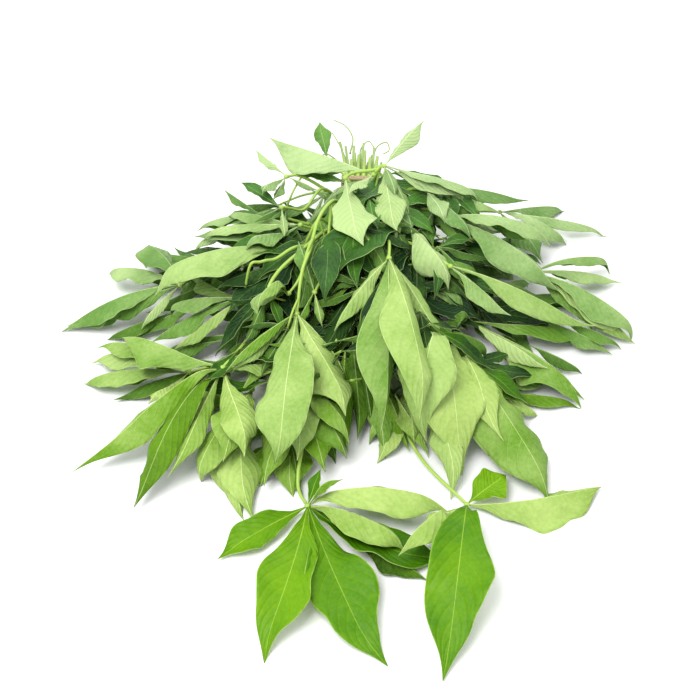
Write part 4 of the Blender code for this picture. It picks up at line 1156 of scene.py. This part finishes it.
# The darkest greens of both ramps are painted shade, for leaves deep in the heap.
upper_side = leaf_material(
    "leaf_top", ((0.006, 0.035, 0.004), (0.06, 0.20, 0.004), (0.17, 0.37, 0.008)), (0.34, 0.56, 0.07),
    (0.36, 0.55, 0.09), roughness=0.5, vein_strength=0.45, bump=-0.8, gloss=0.2)
underside = leaf_material(
    "leaf_below", ((0.014, 0.05, 0.004), (0.125, 0.27, 0.024), (0.41, 0.56, 0.18)), (0.52, 0.68, 0.26),
    (0.62, 0.74, 0.32), roughness=0.62, vein_strength=0.5, bump=0.8, gloss=0.12)
print("leaf materials:", upper_side.name, underside.name)

# %% [markdown]
# ## Green stems
# Young stems and petioles are bright yellow-green and smooth, with a fine grain. Towards the cut ends
# they dry to a duller green. How dry a place is comes from an attribute of the mesh.

# %% Build the stem material
STEM_GREENS, STEM_FLECKS = ((0.24, 0.42, 0.04), (0.42, 0.62, 0.09)), (0.55, 0.68, 0.2)
DRY_GREEN, DRY_SHARE = (0.30, 0.40, 0.17), 0.75


def stem_material():
    tree = Tree("green_stem", 0.42)
    color, fine = tree.mix(tree.noise(22.0, 3.0), *STEM_GREENS), tree.noise(700.0)
    color = tree.mix(tree.math("MULTIPLY", fine, 0.35), color, STEM_FLECKS)
    color = tree.mix(tree.math("MULTIPLY", tree.attribute("dry"), DRY_SHARE), color, DRY_GREEN)
    tree.put(color, tree.shader["Base Color"])
    tree.relief(fine, 0.3, 0.3 * MM)
    return tree.material


green_stem = stem_material()
print("stem material:", green_stem.name)

# %% [markdown]
# ## Stems and petioles
# A stem is a round tube along a smooth line, thicker at its cut end and thinner where its leaf
# begins. In Blender that is a curve with a bevel depth, and a radius at each point lets it
# taper. It is turned into a mesh at once, because it will be joined with its leaves.

# %% Draw tubes
TUBE_RESOLUTION = 2


def fine_route(route, step=4 * MM):
    """Points on a smooth curve through the route's points, a few millimetres apart."""
    way = np.append(0, np.cumsum(np.linalg.norm(np.diff(route, axis=0), axis=1)))
    at = np.linspace(0, way[-1], max(int(way[-1] / step), 4) + 1)
    return smooth_through(way, route, at), at / way[-1]


def tube(name, route, radii, material, closed=False):
    """A tapering round tube as a mesh, with capped ends or closed to a ring."""
    curve = bpy.data.curves.new(name, "CURVE")
    curve.dimensions, curve.bevel_depth, curve.bevel_resolution = "3D", 1.0, TUBE_RESOLUTION
    curve.use_fill_caps = not closed
    spline = curve.splines.new("POLY")
    spline.points.add(len(route) - 1)
    for point, place, radius in zip(spline.points, route, radii):
        point.co, point.radius = (*place, 1), radius
    spline.use_cyclic_u = closed
    thing = bpy.data.objects.new(name, curve)
    bpy.context.scene.collection.objects.link(thing)
    bpy.ops.object.select_all(action="DESELECT")
    thing.select_set(True)
    bpy.context.view_layer.objects.active = thing
    bpy.ops.object.convert(target="MESH")
    made = bpy.context.object
    bpy.ops.object.mode_set(mode="EDIT")
    bpy.ops.mesh.select_all(action="SELECT")
    bpy.ops.mesh.remove_doubles(threshold=0.01 * MM)
    bpy.ops.mesh.normals_make_consistent(inside=False)
    bpy.ops.object.mode_set(mode="OBJECT")
    made.data.materials.clear()
    made.data.materials.append(material)
    made.data.shade_smooth()
    return made


print("tubes have", 4 + 2 * TUBE_RESOLUTION, "sides")

# %% [markdown]
# ## The knuckle where leaflets meet
# All leaflets of a palmate leaf spring from one point, a slightly swollen knuckle. A low sphere
# squashed a little does for it, sunk into the bases of the blades.

# %% Add knuckles
KNUCKLE_RADIUS, KNUCKLE_HEIGHT = HUB_RADIUS * 0.8, 0.8


def knuckle(centre):
    bpy.ops.object.select_all(action="DESELECT")
    bpy.ops.mesh.primitive_uv_sphere_add(segments=12, ring_count=8, radius=KNUCKLE_RADIUS, location=centre)
    made = bpy.context.object
    bpy.ops.object.mode_set(mode="EDIT")
    bpy.ops.mesh.select_all(action="SELECT")
    bpy.ops.transform.resize(value=(1, 1, KNUCKLE_HEIGHT), center_override=tuple(centre))
    bpy.ops.object.mode_set(mode="OBJECT")
    bpy.ops.object.transform_apply(location=True, rotation=True, scale=True)
    made.data.materials.append(green_stem)
    made.data.shade_smooth()
    return made


print("a knuckle is", round(2 * KNUCKLE_RADIUS / MM, 1), "mm wide")

# %% [markdown]
# ## Fill the heap
# The stems laid so far carry the leaves that show. A real bunch has more: through each gap you
# see other leaves, dark in the shade. That shade is painted into their colour as dark tones. They are
# laid on shells inside the heap. For that the heap's surface is smoothed into a height map.

# %% Map the heap's height
SHELL_CELL, SHELL_ROUNDS, SHELL_HALF = 8 * MM, 2, 320 * MM


def surroundings(cells):
    """Nine copies of the cells, each moved by up to one cell both ways."""
    return [np.roll(cells, (i, j), (0, 1)) for i in range(-1, 2) for j in range(-1, 2)]


def heap_height():
    """The heap's height over the table in small cells, each the highest of its surroundings, smoothed."""
    cells = int(2 * SHELL_HALF / SHELL_CELL)
    top = np.zeros((cells, cells))
    for _, leaves in laid:
        for leaf in leaves:
            for leaflet in leaf.leaflets:
                points = template.samples(template.lay(leaflet, leaf.hub))[0]
                at = np.clip(((points[:, :2] + SHELL_HALF) / SHELL_CELL).astype(int), 0, cells - 1)
                np.maximum.at(top, (at[:, 0], at[:, 1]), points[:, 2])
    spread = np.max(surroundings(top), axis=0)
    for _ in range(SHELL_ROUNDS):
        spread = np.mean(surroundings(spread), axis=0)
    return spread


heap = heap_height()


def height_at(place):
    k = np.clip(((np.asarray(place)[..., :2] + SHELL_HALF) / SHELL_CELL).astype(int), 0, len(heap) - 1)
    return heap[k[..., 0], k[..., 1]]


print("the heap is up to", round(heap.max() / MM), "mm high")

# %% [markdown]
# ## The filling leaves
# Each is laid at a share of the heap's height, near its stem, and heads away from the tie. A thin
# petiole joins it to the stem. Leaflets that would reach beyond the heap are left out. Their tones are
# painted shade, darker the deeper they lie, with a painted haze of light that lightens them at the back.

# %% Lay the filling leaves
FILL_LEAVES, FILL_STARTS, FILL_TURN, FILL_REACHES = 4, (0.3, 0.97), 55, (15, 45)
FILL_WAYS, FILL_WIDTHS, FILL_LENGTHS = (0, -38, 38, -80, 80), (0.24, 0.36), (0.85, 1.1)
FILL_SIZES, FILL_DEPTHS, FILL_SHADED_TONES = (44 * MM, 88 * MM), (0.25, 0.84), (-0.2, 0.22)
FILL_BEND, FILL_HANGS, FILL_UPPER_SHARE, FILL_FLOOR = 25, (10, 55), 0.35, 2 * MM
HAZE_FROM, HAZE_OVER, HAZE_LIGHTENS_BY, SHADE_EASES_UP = 50 * MM, 80 * MM, 0.4, 0.15
LEAST_HEIGHT = 16 * MM
FRONT_EDGE, BACK_EDGE = -92 * MM, 160 * MM


def shell_strip(hub, heading, length, width_share, depth, draw):
    """A leaf blade that follows the heap's surface at a share of its height."""
    turn = np.radians(heading + draw.uniform(-FILL_BEND, FILL_BEND) * np.array(STATIONS))
    steps = np.diff(STATIONS, prepend=0)[:, None] * length * np.column_stack([np.cos(turn), np.sin(turn)])
    flat = hub[:2] + np.cumsum(steps, axis=0)
    z = np.maximum(depth * height_at(flat), FILL_FLOOR)
    z[0] = hub[2]
    reach = np.abs(np.diff(STATIONS)) * length * STEEPEST
    for k in range(1, len(z)):
        z[k] = np.clip(z[k], z[k - 1] - reach[k - 1], z[k - 1] + reach[k - 1] * 0.5)
    hang = np.radians(draw.uniform(*FILL_HANGS, 2))[:, None] * np.ones(len(STATIONS))
    upper = draw.random() < FILL_UPPER_SHARE
    # Painted shade and light: deeper filling leaves get darker tones, and those towards the back a painted
    # haze that lightens them.
    at_back = np.clip((hub[1] - HAZE_FROM) / HAZE_OVER, 0, 1)
    tone = draw.uniform(*FILL_SHADED_TONES) + SHADE_EASES_UP * depth + HAZE_LIGHTENS_BY * at_back
    return Strip(np.column_stack([flat, np.maximum(z, FILL_FLOOR)]), length, length * width_share,
                 -hang * 0.5 if upper else hang, upper, tone, tuck=0.6)


def filling_leaves(route, draw):
    """Palmate leaves inside the heap, on petioles from a stem: a list of petiole routes and strips."""
    line, _ = fine_route(route)
    made = []
    for _ in range(FILL_LEAVES):
        start = line[int(draw.uniform(*FILL_STARTS) * (len(line) - 1))]
        outward = start[:2] - np.array(TIE_AT)
        away = math.atan2(outward[1], outward[0]) + math.radians(draw.uniform(-FILL_TURN, FILL_TURN))
        reach = draw.uniform(*FILL_REACHES) * MM
        spot = start[:2] + reach * np.array([math.cos(away), math.sin(away)])
        ground = height_at(spot)
        if ground < LEAST_HEIGHT or not FRONT_EDGE < spot[1] < BACK_EDGE:
            continue
        depth = draw.uniform(*FILL_DEPTHS)
        hub = np.array([*spot, max(depth * ground, 6 * MM)])
        petiole = np.array([start, (start + hub) / 2 + [0, 0, 3 * MM], hub])
        heading, length = math.degrees(away), draw.uniform(*FILL_SIZES)
        strips = []
        for side in FILL_WAYS:
            size = length * (1 - abs(side) / 260) * draw.uniform(*FILL_LENGTHS)
            end = hub[:2] + size * direction(heading + side)[:2]
            if height_at(end) > LEAST_HEIGHT / 2 and FRONT_EDGE < end[1] < BACK_EDGE:
                width_share = draw.uniform(*FILL_WIDTHS)
                strips.append(shell_strip(hub, heading + side, size, width_share, depth, draw))
        if strips:
            made.append((petiole, strips))
    return made


print("filling leaves: at most", FILL_LEAVES, "on each stem")

# %% [markdown]
# ## Leaflets between the big ones
# Some leaflets are seen only in part, behind the big ones. Each is listed with the stem it joins, where
# its base and its tip show and how high they are (in millimetres), its width share and its tone, which
# holds painted shade as well as the leaflet's own tone.

# %% List the leaflets between
BETWEEN = [
    (18, (2, 10), 42, (10, -76), 6, 0.30, 0.25), (18, (-4, 0), 38, (-3, -88), 4, 0.30, 0.5),
    (19, (15, 0), 40, (29, -92), 3, 0.26, 0.55), (18, (8, 4), 50, (19, -64), 14, 0.25, 0.15),
    (19, (25, -25), 36, (49, -86), 3, 0.30, 0.5), (19, (38, -38), 34, (70, -89), 3, 0.30, 0.7),
    (13, (131, 8), 26, (200, -41), 2, 0.30, 0.65), (14, (165, 25), 24, (222, -2), 2, 0.32, 0.6),
    (13, (152, 4), 22, (199, -19), 3, 0.35, 0.35), (11, (-123, 42), 24, (-180, 10), 3, 0.30, 0.5),
    (11, (-98, 13), 24, (-161, -2), 3, 0.30, 0.35), (17, (-108, -52), 14, (-93, -146), 1, 0.36, 0.8),
    (23, (38, 72), 72, (86, -8), 48, 0.26, 0.8), (6, (-64, -76), 14, (-75, -116), 2, 0.35, 0.5),
    (6, (-51, -76), 14, (-42, -127), 2, 0.30, 0.35), (20, (62, -22), 40, (92, -125), 5, 0.26, 0.85),
    (20, (116, -50), 24, (168, -117), 3, 0.48, 0.7),
    (15, (186, 48), 24, (242, 6), 3, 0.40, 0.75), (15, (178, 24), 22, (232, 3), 3, 0.34, 0.5),
    (5, (-176, 42), 18, (-240, 20), 2, 0.42, 0.6), (5, (-148, 32), 18, (-208, 9), 2, 0.34, 0.35),
    (11, (-108, 8), 20, (-166, -8), 3, 0.30, 0.5), (3, (0, -160), 9, (66, -194), 2, 0.40, 0.2),
    (16, (-118, 55), 30, (-172, 30), 6, 0.32, 0.3),
    (14, (118, 52), 36, (166, 40), 16, 0.34, 0.3), (13, (92, 6), 32, (130, -22), 10, 0.36, 0.15),
]
BETWEEN_ARCH, BETWEEN_ASIDE, BETWEEN_HANGS = 0.07, 0.4, (10, 60)


def between_strip(base, base_height, tip, tip_height, share, tone, draw):
    """A leaflet from where its base shows to where its tip shows, a little arched."""
    start = seen_at(np.array(base) * MM, base_height * MM)
    end = seen_at(np.array(tip) * MM, tip_height * MM)
    u = np.array(STATIONS)[:, None]
    length = np.linalg.norm(end - start)
    aside = np.cross([0, 0, 1], (end - start) / length) * draw.uniform(-BETWEEN_ASIDE, BETWEEN_ASIDE)
    line = start + (end - start) * u + (aside + [0, 0, 1]) * length * BETWEEN_ARCH * 4 * u * (1 - u)
    hang = np.radians(draw.uniform(*BETWEEN_HANGS, 2))[:, None] * np.ones(len(STATIONS))
    return Strip(line, length, length * share, hang, False, tone)


print(len(BETWEEN), "leaflets between")

# %% [markdown]
# ## Make a leaflet
# Each leaflet is a copy of a master blade with its points moved into place. Solidify gives it
# a thickness, with one material for each side. Three values are stored at its points for the
# materials: how light it is, with painted shade in it, how far it lies towards the back, which sets a
# painted haze of light, and how far from the midrib a point is.

# %% Make leaflets
LEAF_THICKNESS = 0.4 * MM
# The fans lie low in the heap, so their tones are darker, as painted shade.
TONES, UPPER_TONES, FAN_SHADED_TONES = (0.45, 0.95), (0.35, 0.7), (0.15, 0.65)
HAZE_TINT_FROM, HAZE_TINT_OVER, TINT_SWING = -110 * MM, 260 * MM, 0.2
tints = np.random.default_rng([SEED, 11])
# These tones hold painted light and shade as well as each leaf's own tone.
SEEN_TONES = {
    (62, 196): 1.1, (-70, 179): 0.95, (6, 88): 1.1, (-2, 131): 1.1, (-19, 60): 0.22, (22, -46): 0.0,
    (-165, 50): 0.85, (87, 53): 0.95, (64, -58): 0.8, (31, -73): 0.62, (134, 27): 0.75, (205, 13): 0.8,
    (-194, 11): 0.7, (97, 129): 1.0, (144, 95): 0.85, (-80, 170): 1.0, (-27, 194): 0.85,
    (-113, -177): 0.7, (25, -271): 0.6, (-79, -265): 0.75, (81, -281): 0.6, (85, -178): 0.35,
    (50, -168): 0.75, (86, -134): 0.85, (42, -176): 0.85, (213, -114): 0.85, (134, -105): 0.85,
}


def tone_of(leaflet, draw):
    """How light a leaflet is, its own tone and painted shade together: read from the photograph for leaves
    that stand out, else drawn.
    """
    drawn = draw.uniform(*(UPPER_TONES if min(leaflet.folds) < 0 else TONES if leaflet.tip else FAN_SHADED_TONES))
    return SEEN_TONES.get(tip_in_mm(leaflet), drawn)


def fine_leaflet(strip, draw, blade):
    """A leaflet with its thickness, its materials and the values that they read."""
    bpy.ops.object.select_all(action="DESELECT")
    mesh = blade.mesh.copy()
    mesh.vertices.foreach_set("co", (lay_fine(strip, draw, blade) + shift).ravel())
    made = bpy.data.objects.new("leaflet", mesh)
    bpy.context.scene.collection.objects.link(made)
    mesh.materials.clear()
    for material in (upper_side, underside) if strip.shows_upper else (underside, upper_side):
        mesh.materials.append(material)
    from_rib = np.abs(blade.across) * fine_half(blade.along) * strip.width / 2 / MM
    # A painted haze of light, stronger towards the back, with a random swing.
    back = (strip.stations[:, 1].mean() - HAZE_TINT_FROM) / HAZE_TINT_OVER
    cool = np.clip(back + tints.uniform(-TINT_SWING, TINT_SWING), 0, 1)
    same = np.ones(len(from_rib))
    for title, values in (("tone", same * strip.tone), ("from_rib", from_rib), ("cool", same * cool)):
        mesh.attributes.new(title, "FLOAT", "POINT").data.foreach_set("value", values.astype(np.float32))
    made.select_set(True)
    bpy.context.view_layer.objects.active = made
    solid = made.modifiers.new("thickness", "SOLIDIFY")
    solid.thickness, solid.offset = LEAF_THICKNESS, 0
    solid.material_offset = solid.material_offset_rim = 1
    bpy.ops.object.modifier_apply(modifier=solid.name)
    mesh.shade_smooth()
    return made


print(len(SEEN_TONES), "leaflets have a tone read from the photograph")

# %% [markdown]
# ## Frayed stem ends
# The cut ends behind the tie are of uneven length and point apart, a few dried wisps curl among
# them, and all of them have lost some of their colour.

# %% Fray the stem ends
TAIL_THIN, TAIL_STRAY, TAIL_CUT = 0.42, 9 * MM, 0.3
WISP_RADIUS = 0.9 * MM
WISPS = {
    21: [((0, 166), 30), ((2, 181), 38), ((-4, 190), 44), ((-14, 195), 47)],
    25: [((-3, 160), 32), ((-9, 174), 36), ((-15, 184), 40)],
    27: [((18, 160), 30), ((25, 174), 36), ((31, 176), 35), ((33, 169), 32), ((28, 166), 31)],
    28: [((9, 158), 32), ((10, 172), 38), ((16, 177), 40), ((20, 172), 38)],
    24: [((-8, 158), 30), ((-20, 166), 34), ((-28, 163), 36)],
}


def frayed(line, draw):
    """A stem's line with its end cut shorter and straying, and how far each point is into the tail."""
    tail = np.clip((line[:, 1] - TIE_AT[1] - BEHIND_TIE) / TAIL_LENGTH, 0, 1)
    stray = np.array([draw.uniform(-1, 1), 0, draw.uniform(-0.7, 0.7)]) * TAIL_STRAY
    line = line + tail[:, None]**1.5 * stray
    keep = tail <= max(tail) * (1 - draw.uniform(0, TAIL_CUT))
    return line[keep], tail[keep]


def mark_dry(thing, values):
    """Stores how dry each ring of a tube is; the stem material reads it."""
    rings = np.repeat(values, len(thing.data.vertices) // len(values))
    rings = np.resize(rings, len(thing.data.vertices))
    thing.data.attributes.new("dry", "FLOAT", "POINT").data.foreach_set("value", rings.astype(np.float32))


def wisp(places):
    points = np.array([seen_at(np.array(seen) * MM, height * MM) for seen, height in places])
    line, share = fine_route(points, 2 * MM)
    made = tube("wisp", line + shift, WISP_RADIUS * (1 - 0.3 * share), green_stem)
    mark_dry(made, np.ones(len(line)))
    return made


print(len(WISPS), "wisps")

# %% [markdown]
# ## Put each leafy stem together
# The stem, its petioles, knuckles and leaflets are made one after another and joined into one piece.
# The piece takes the place of its plain solid in the packed model.

# %% Join the stems
STEM_TAPER, STALK_TAPER, THICKEST, FILL_STALK, STALK_CLEAR = 0.45, 0.25, 1.05, 1.0 * MM, 3 * MM


def joined(parts, name):
    """The parts as one object, in the place of the first one."""
    bpy.ops.object.select_all(action="DESELECT")
    for part in parts:
        part.select_set(True)
    bpy.context.view_layer.objects.active = parts[0]
    bpy.ops.object.join()
    piece = bpy.context.object
    piece.name = piece.data.name = name
    return piece


def bare_stem(number, route, draw):
    """A stem with its frayed tail, and with a dried wisp if one is listed for it."""
    line, tail = frayed(fine_route(route)[0], draw)
    taper = THICKEST - STEM_TAPER * np.linspace(0, 1, len(line))
    thickness = taper * (1 - TAIL_THIN * np.minimum(tail * 2, 1))
    stem = tube("stem", line + shift, STEM_RADIUS * thickness, green_stem)
    mark_dry(stem, np.minimum(tail * 2, 1))
    return [stem, wisp(WISPS[number])] if number in WISPS else [stem]


def petiole(leaf):
    """A leaf's petiole, lowered where it stands high over the heap, and smoothed."""
    line, share = fine_route(leaf.stalk, 3 * MM)
    line[:, 2] -= np.maximum(line[:, 2] - height_at(line) - STALK_CLEAR, 0) * np.sin(math.pi * share)
    for _ in range(len(line) // 2):
        line[1:-1] = (line[:-2] + 2 * line[1:-1] + line[2:]) / 4
    return tube("petiole", line + shift, PETIOLE_RADIUS * (THICKEST - STALK_TAPER * share), green_stem)


def leaf_parts(leaf, draw):
    parts = [] if leaf.stalk is None else [petiole(leaf)]
    parts.append(knuckle(leaf.hub + shift))
    for leaflet in leaf.leaflets:
        strip = strip_of(leaflet, leaf.hub, tone_of(leaflet, draw))
        parts.append(fine_leaflet(strip, draw, fine_blade))
    return parts


def filling_parts(route, draw):
    parts = []
    for stalk, strips in filling_leaves(route, draw):
        line, _ = fine_route(stalk, 5 * MM)
        parts.append(tube("fill_stalk", line + shift, np.full(len(line), FILL_STALK), green_stem))
        parts += [fine_leaflet(strip, draw, inner_blade) for strip in strips]
    return parts


def dress_stem(number, route, leaves):
    draw = np.random.default_rng([SEED, 7, number])
    parts = bare_stem(number, route, draw)
    for stem, *place in BETWEEN:
        if stem == number:
            parts.append(fine_leaflet(between_strip(*place, draw), draw, fine_blade))
    for leaf in leaves:
        parts += leaf_parts(leaf, draw)
    piece = joined(parts + filling_parts(route, draw), f"shoot_{number:02d}")
    node = f"leafy_stem_{number:02d}"
    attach(piece, "root")
    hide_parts(node)
    return piece


shoots_made = [dress_stem(k, route, leaves) for k, (route, leaves) in enumerate(laid, start=1)]
faces = sum(len(piece.data.polygons) for piece in shoots_made)
print(len(shoots_made), "leafy stems,", faces, "faces")

# %% [markdown]
# ## The twine
# The stems are held by twine. It is hidden behind the top leaves in the photograph, so it is kept
# plain: a few turns round the bundle and a knot at the side.

# %% Build the twine material
TWINE_COLORS, TWINE_HAIRS = ((0.36, 0.25, 0.12), (0.62, 0.48, 0.28)), (0.7, 0.6, 0.42)
STRAND_SCALE, STRAND_DISTORTION, HAIR_SCALE = 260.0, 1.5, 1500.0


def twine_material():
    tree = Tree("twine", 0.92)
    place = tree.add("TexCoord", {}).outputs["Object"]
    inputs = {"Scale": STRAND_SCALE, "Distortion": STRAND_DISTORTION, "Vector": place}
    wave = tree.add("TexWave", inputs, bands_direction="DIAGONAL")
    strands, hairs = wave.outputs["Fac"], tree.noise(HAIR_SCALE, 3.0)
    color = tree.mix(strands, *TWINE_COLORS)
    color = tree.mix(tree.math("MULTIPLY", hairs, 0.5), color, TWINE_HAIRS)
    tree.put(color, tree.shader["Base Color"])
    tree.relief(tree.math("ADD", strands, hairs), 1.0, 0.5 * MM)
    return tree.material


twine = twine_material()
print("twine material:", twine.name)

# %% [markdown]
# ## Wind it
# The turns are closed tubes round the bundle, and the knot is two small rings that cross, with two
# ends. The tie is one piece too, and it takes the place of the plain tie.

# %% Wind the twine
TWINE_TURNS, TWINE_PITCH, CORNER_POINTS = 2, 2.6 * MM, 7
KNOT_POINTS, KNOT_TILTS = 16, (0.5, 1.7)
END_WAYS, END_BOW = ((4, -9, -12), (5, 10, -10)), (1.5 * MM, 0, 1 * MM)


def tie_route(offset):
    """A rounded rectangle round the bundle, in the plane across it."""
    corner = STEM_RADIUS + TWINE_GAP + TWINE_RADIUS
    half_x = (max(ROW_SIZES) - 1) / 2 * COLUMN_PITCH
    half_z = (len(ROW_SIZES) - 1) / 2 * ROW_PITCH
    route = []
    for quarter, (sx, sz) in enumerate(((1, 1), (-1, 1), (-1, -1), (1, -1))):
        for k in range(CORNER_POINTS):
            turn = math.radians(90 * (quarter + k / (CORNER_POINTS - 1)))
            x = sx * half_x + corner * math.cos(turn)
            z = sz * half_z + corner * math.sin(turn)
            route.append((TIE_AT[0] + x, TIE_AT[1] + offset, TIE_HEIGHT + half_z + z))
    return route


def dress_tie():
    offsets = [(k - (TWINE_TURNS - 1) / 2) * TWINE_PITCH for k in range(TWINE_TURNS)]
    parts = []
    for offset in offsets:
        route = np.array(tie_route(offset)) + shift
        parts.append(tube("turn", route, np.full(len(route), TWINE_RADIUS), twine, closed=True))
    side = max(ROW_SIZES) / 2 * COLUMN_PITCH + 2 * TWINE_RADIUS
    middle = TIE_HEIGHT + (len(ROW_SIZES) - 1) / 2 * ROW_PITCH
    knot = np.array([TIE_AT[0] + side, TIE_AT[1], middle]) + shift
    turn = np.linspace(0, 2 * math.pi, KNOT_POINTS + 1)[:-1]
    radii = np.full(KNOT_POINTS, TWINE_RADIUS * 0.95)
    for tilt in KNOT_TILTS:
        loop = np.column_stack([np.cos(turn), np.sin(turn) * math.cos(tilt), np.sin(turn) * math.sin(tilt)])
        parts.append(tube("knot", knot + loop * 1.5 * MM, radii, twine, closed=True))
    for way in END_WAYS:
        end = np.array(way) * MM
        route = np.array([knot, knot + end * 0.5 + END_BOW, knot + end])
        line, share = fine_route(route, 1.5 * MM)
        parts.append(tube("end", line, TWINE_RADIUS * (0.8 - 0.25 * share), twine))
    piece = joined(parts, "twine_tie")
    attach(piece, "root")
    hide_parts("tie")
    return piece


tie = dress_tie()
print("tie:", len(tie.data.polygons), "faces")

# %% [markdown]
# ## Table and light
# The photograph is bright, with a white table and only faint shadows. First comes the table, a wide
# white floor that is only scenery.

# %% Lay the table
bpy.ops.object.select_all(action="DESELECT")
bpy.ops.mesh.primitive_plane_add(size=12, location=(0, 0, 0))
floor = bpy.context.object
floor.name = "table"
table = Tree("white_table", 0.8)
table.put((0.96, 0.96, 0.96), table.shader["Base Color"])
floor.data.materials.append(table.material)
print("table:", round(floor.dimensions.x), "m wide")

# %% [markdown]
# ## Light
# A white surrounding light gives most of the brightness. A large soft lamp above in front adds faint
# shadows, and a weaker one lights the bunch from behind.

# %% Light the scene
def soft_lamp(name, place, size, power, aim_at):
    bpy.ops.object.light_add(type="AREA", location=place)
    lamp = bpy.context.object
    lamp.name = name
    lamp.data.shape, lamp.data.size, lamp.data.energy = "DISK", size, power
    way = np.array(aim_at) - np.array(place)
    lamp.rotation_euler = (math.acos(-way[2] / np.linalg.norm(way)), 0,
                           math.atan2(way[1], way[0]) - math.pi / 2)
    return lamp


world = bpy.data.worlds.new("white_room")
bpy.context.scene.world = world
world.use_nodes = True
background = world.node_tree.nodes["Background"].inputs
background["Color"].default_value = (1, 1, 1, 1)
background["Strength"].default_value = 0.88
soft_lamp("main_lamp", (-0.5, -0.5, 1.5), size=0.9, power=22, aim_at=(0, 0, 0))
soft_lamp("back_lamp", (0.3, 1.1, 0.9), size=0.8, power=5.5, aim_at=(0, 0.15, 0))
bpy.context.scene.view_settings.view_transform = "Standard"

# %% [markdown]
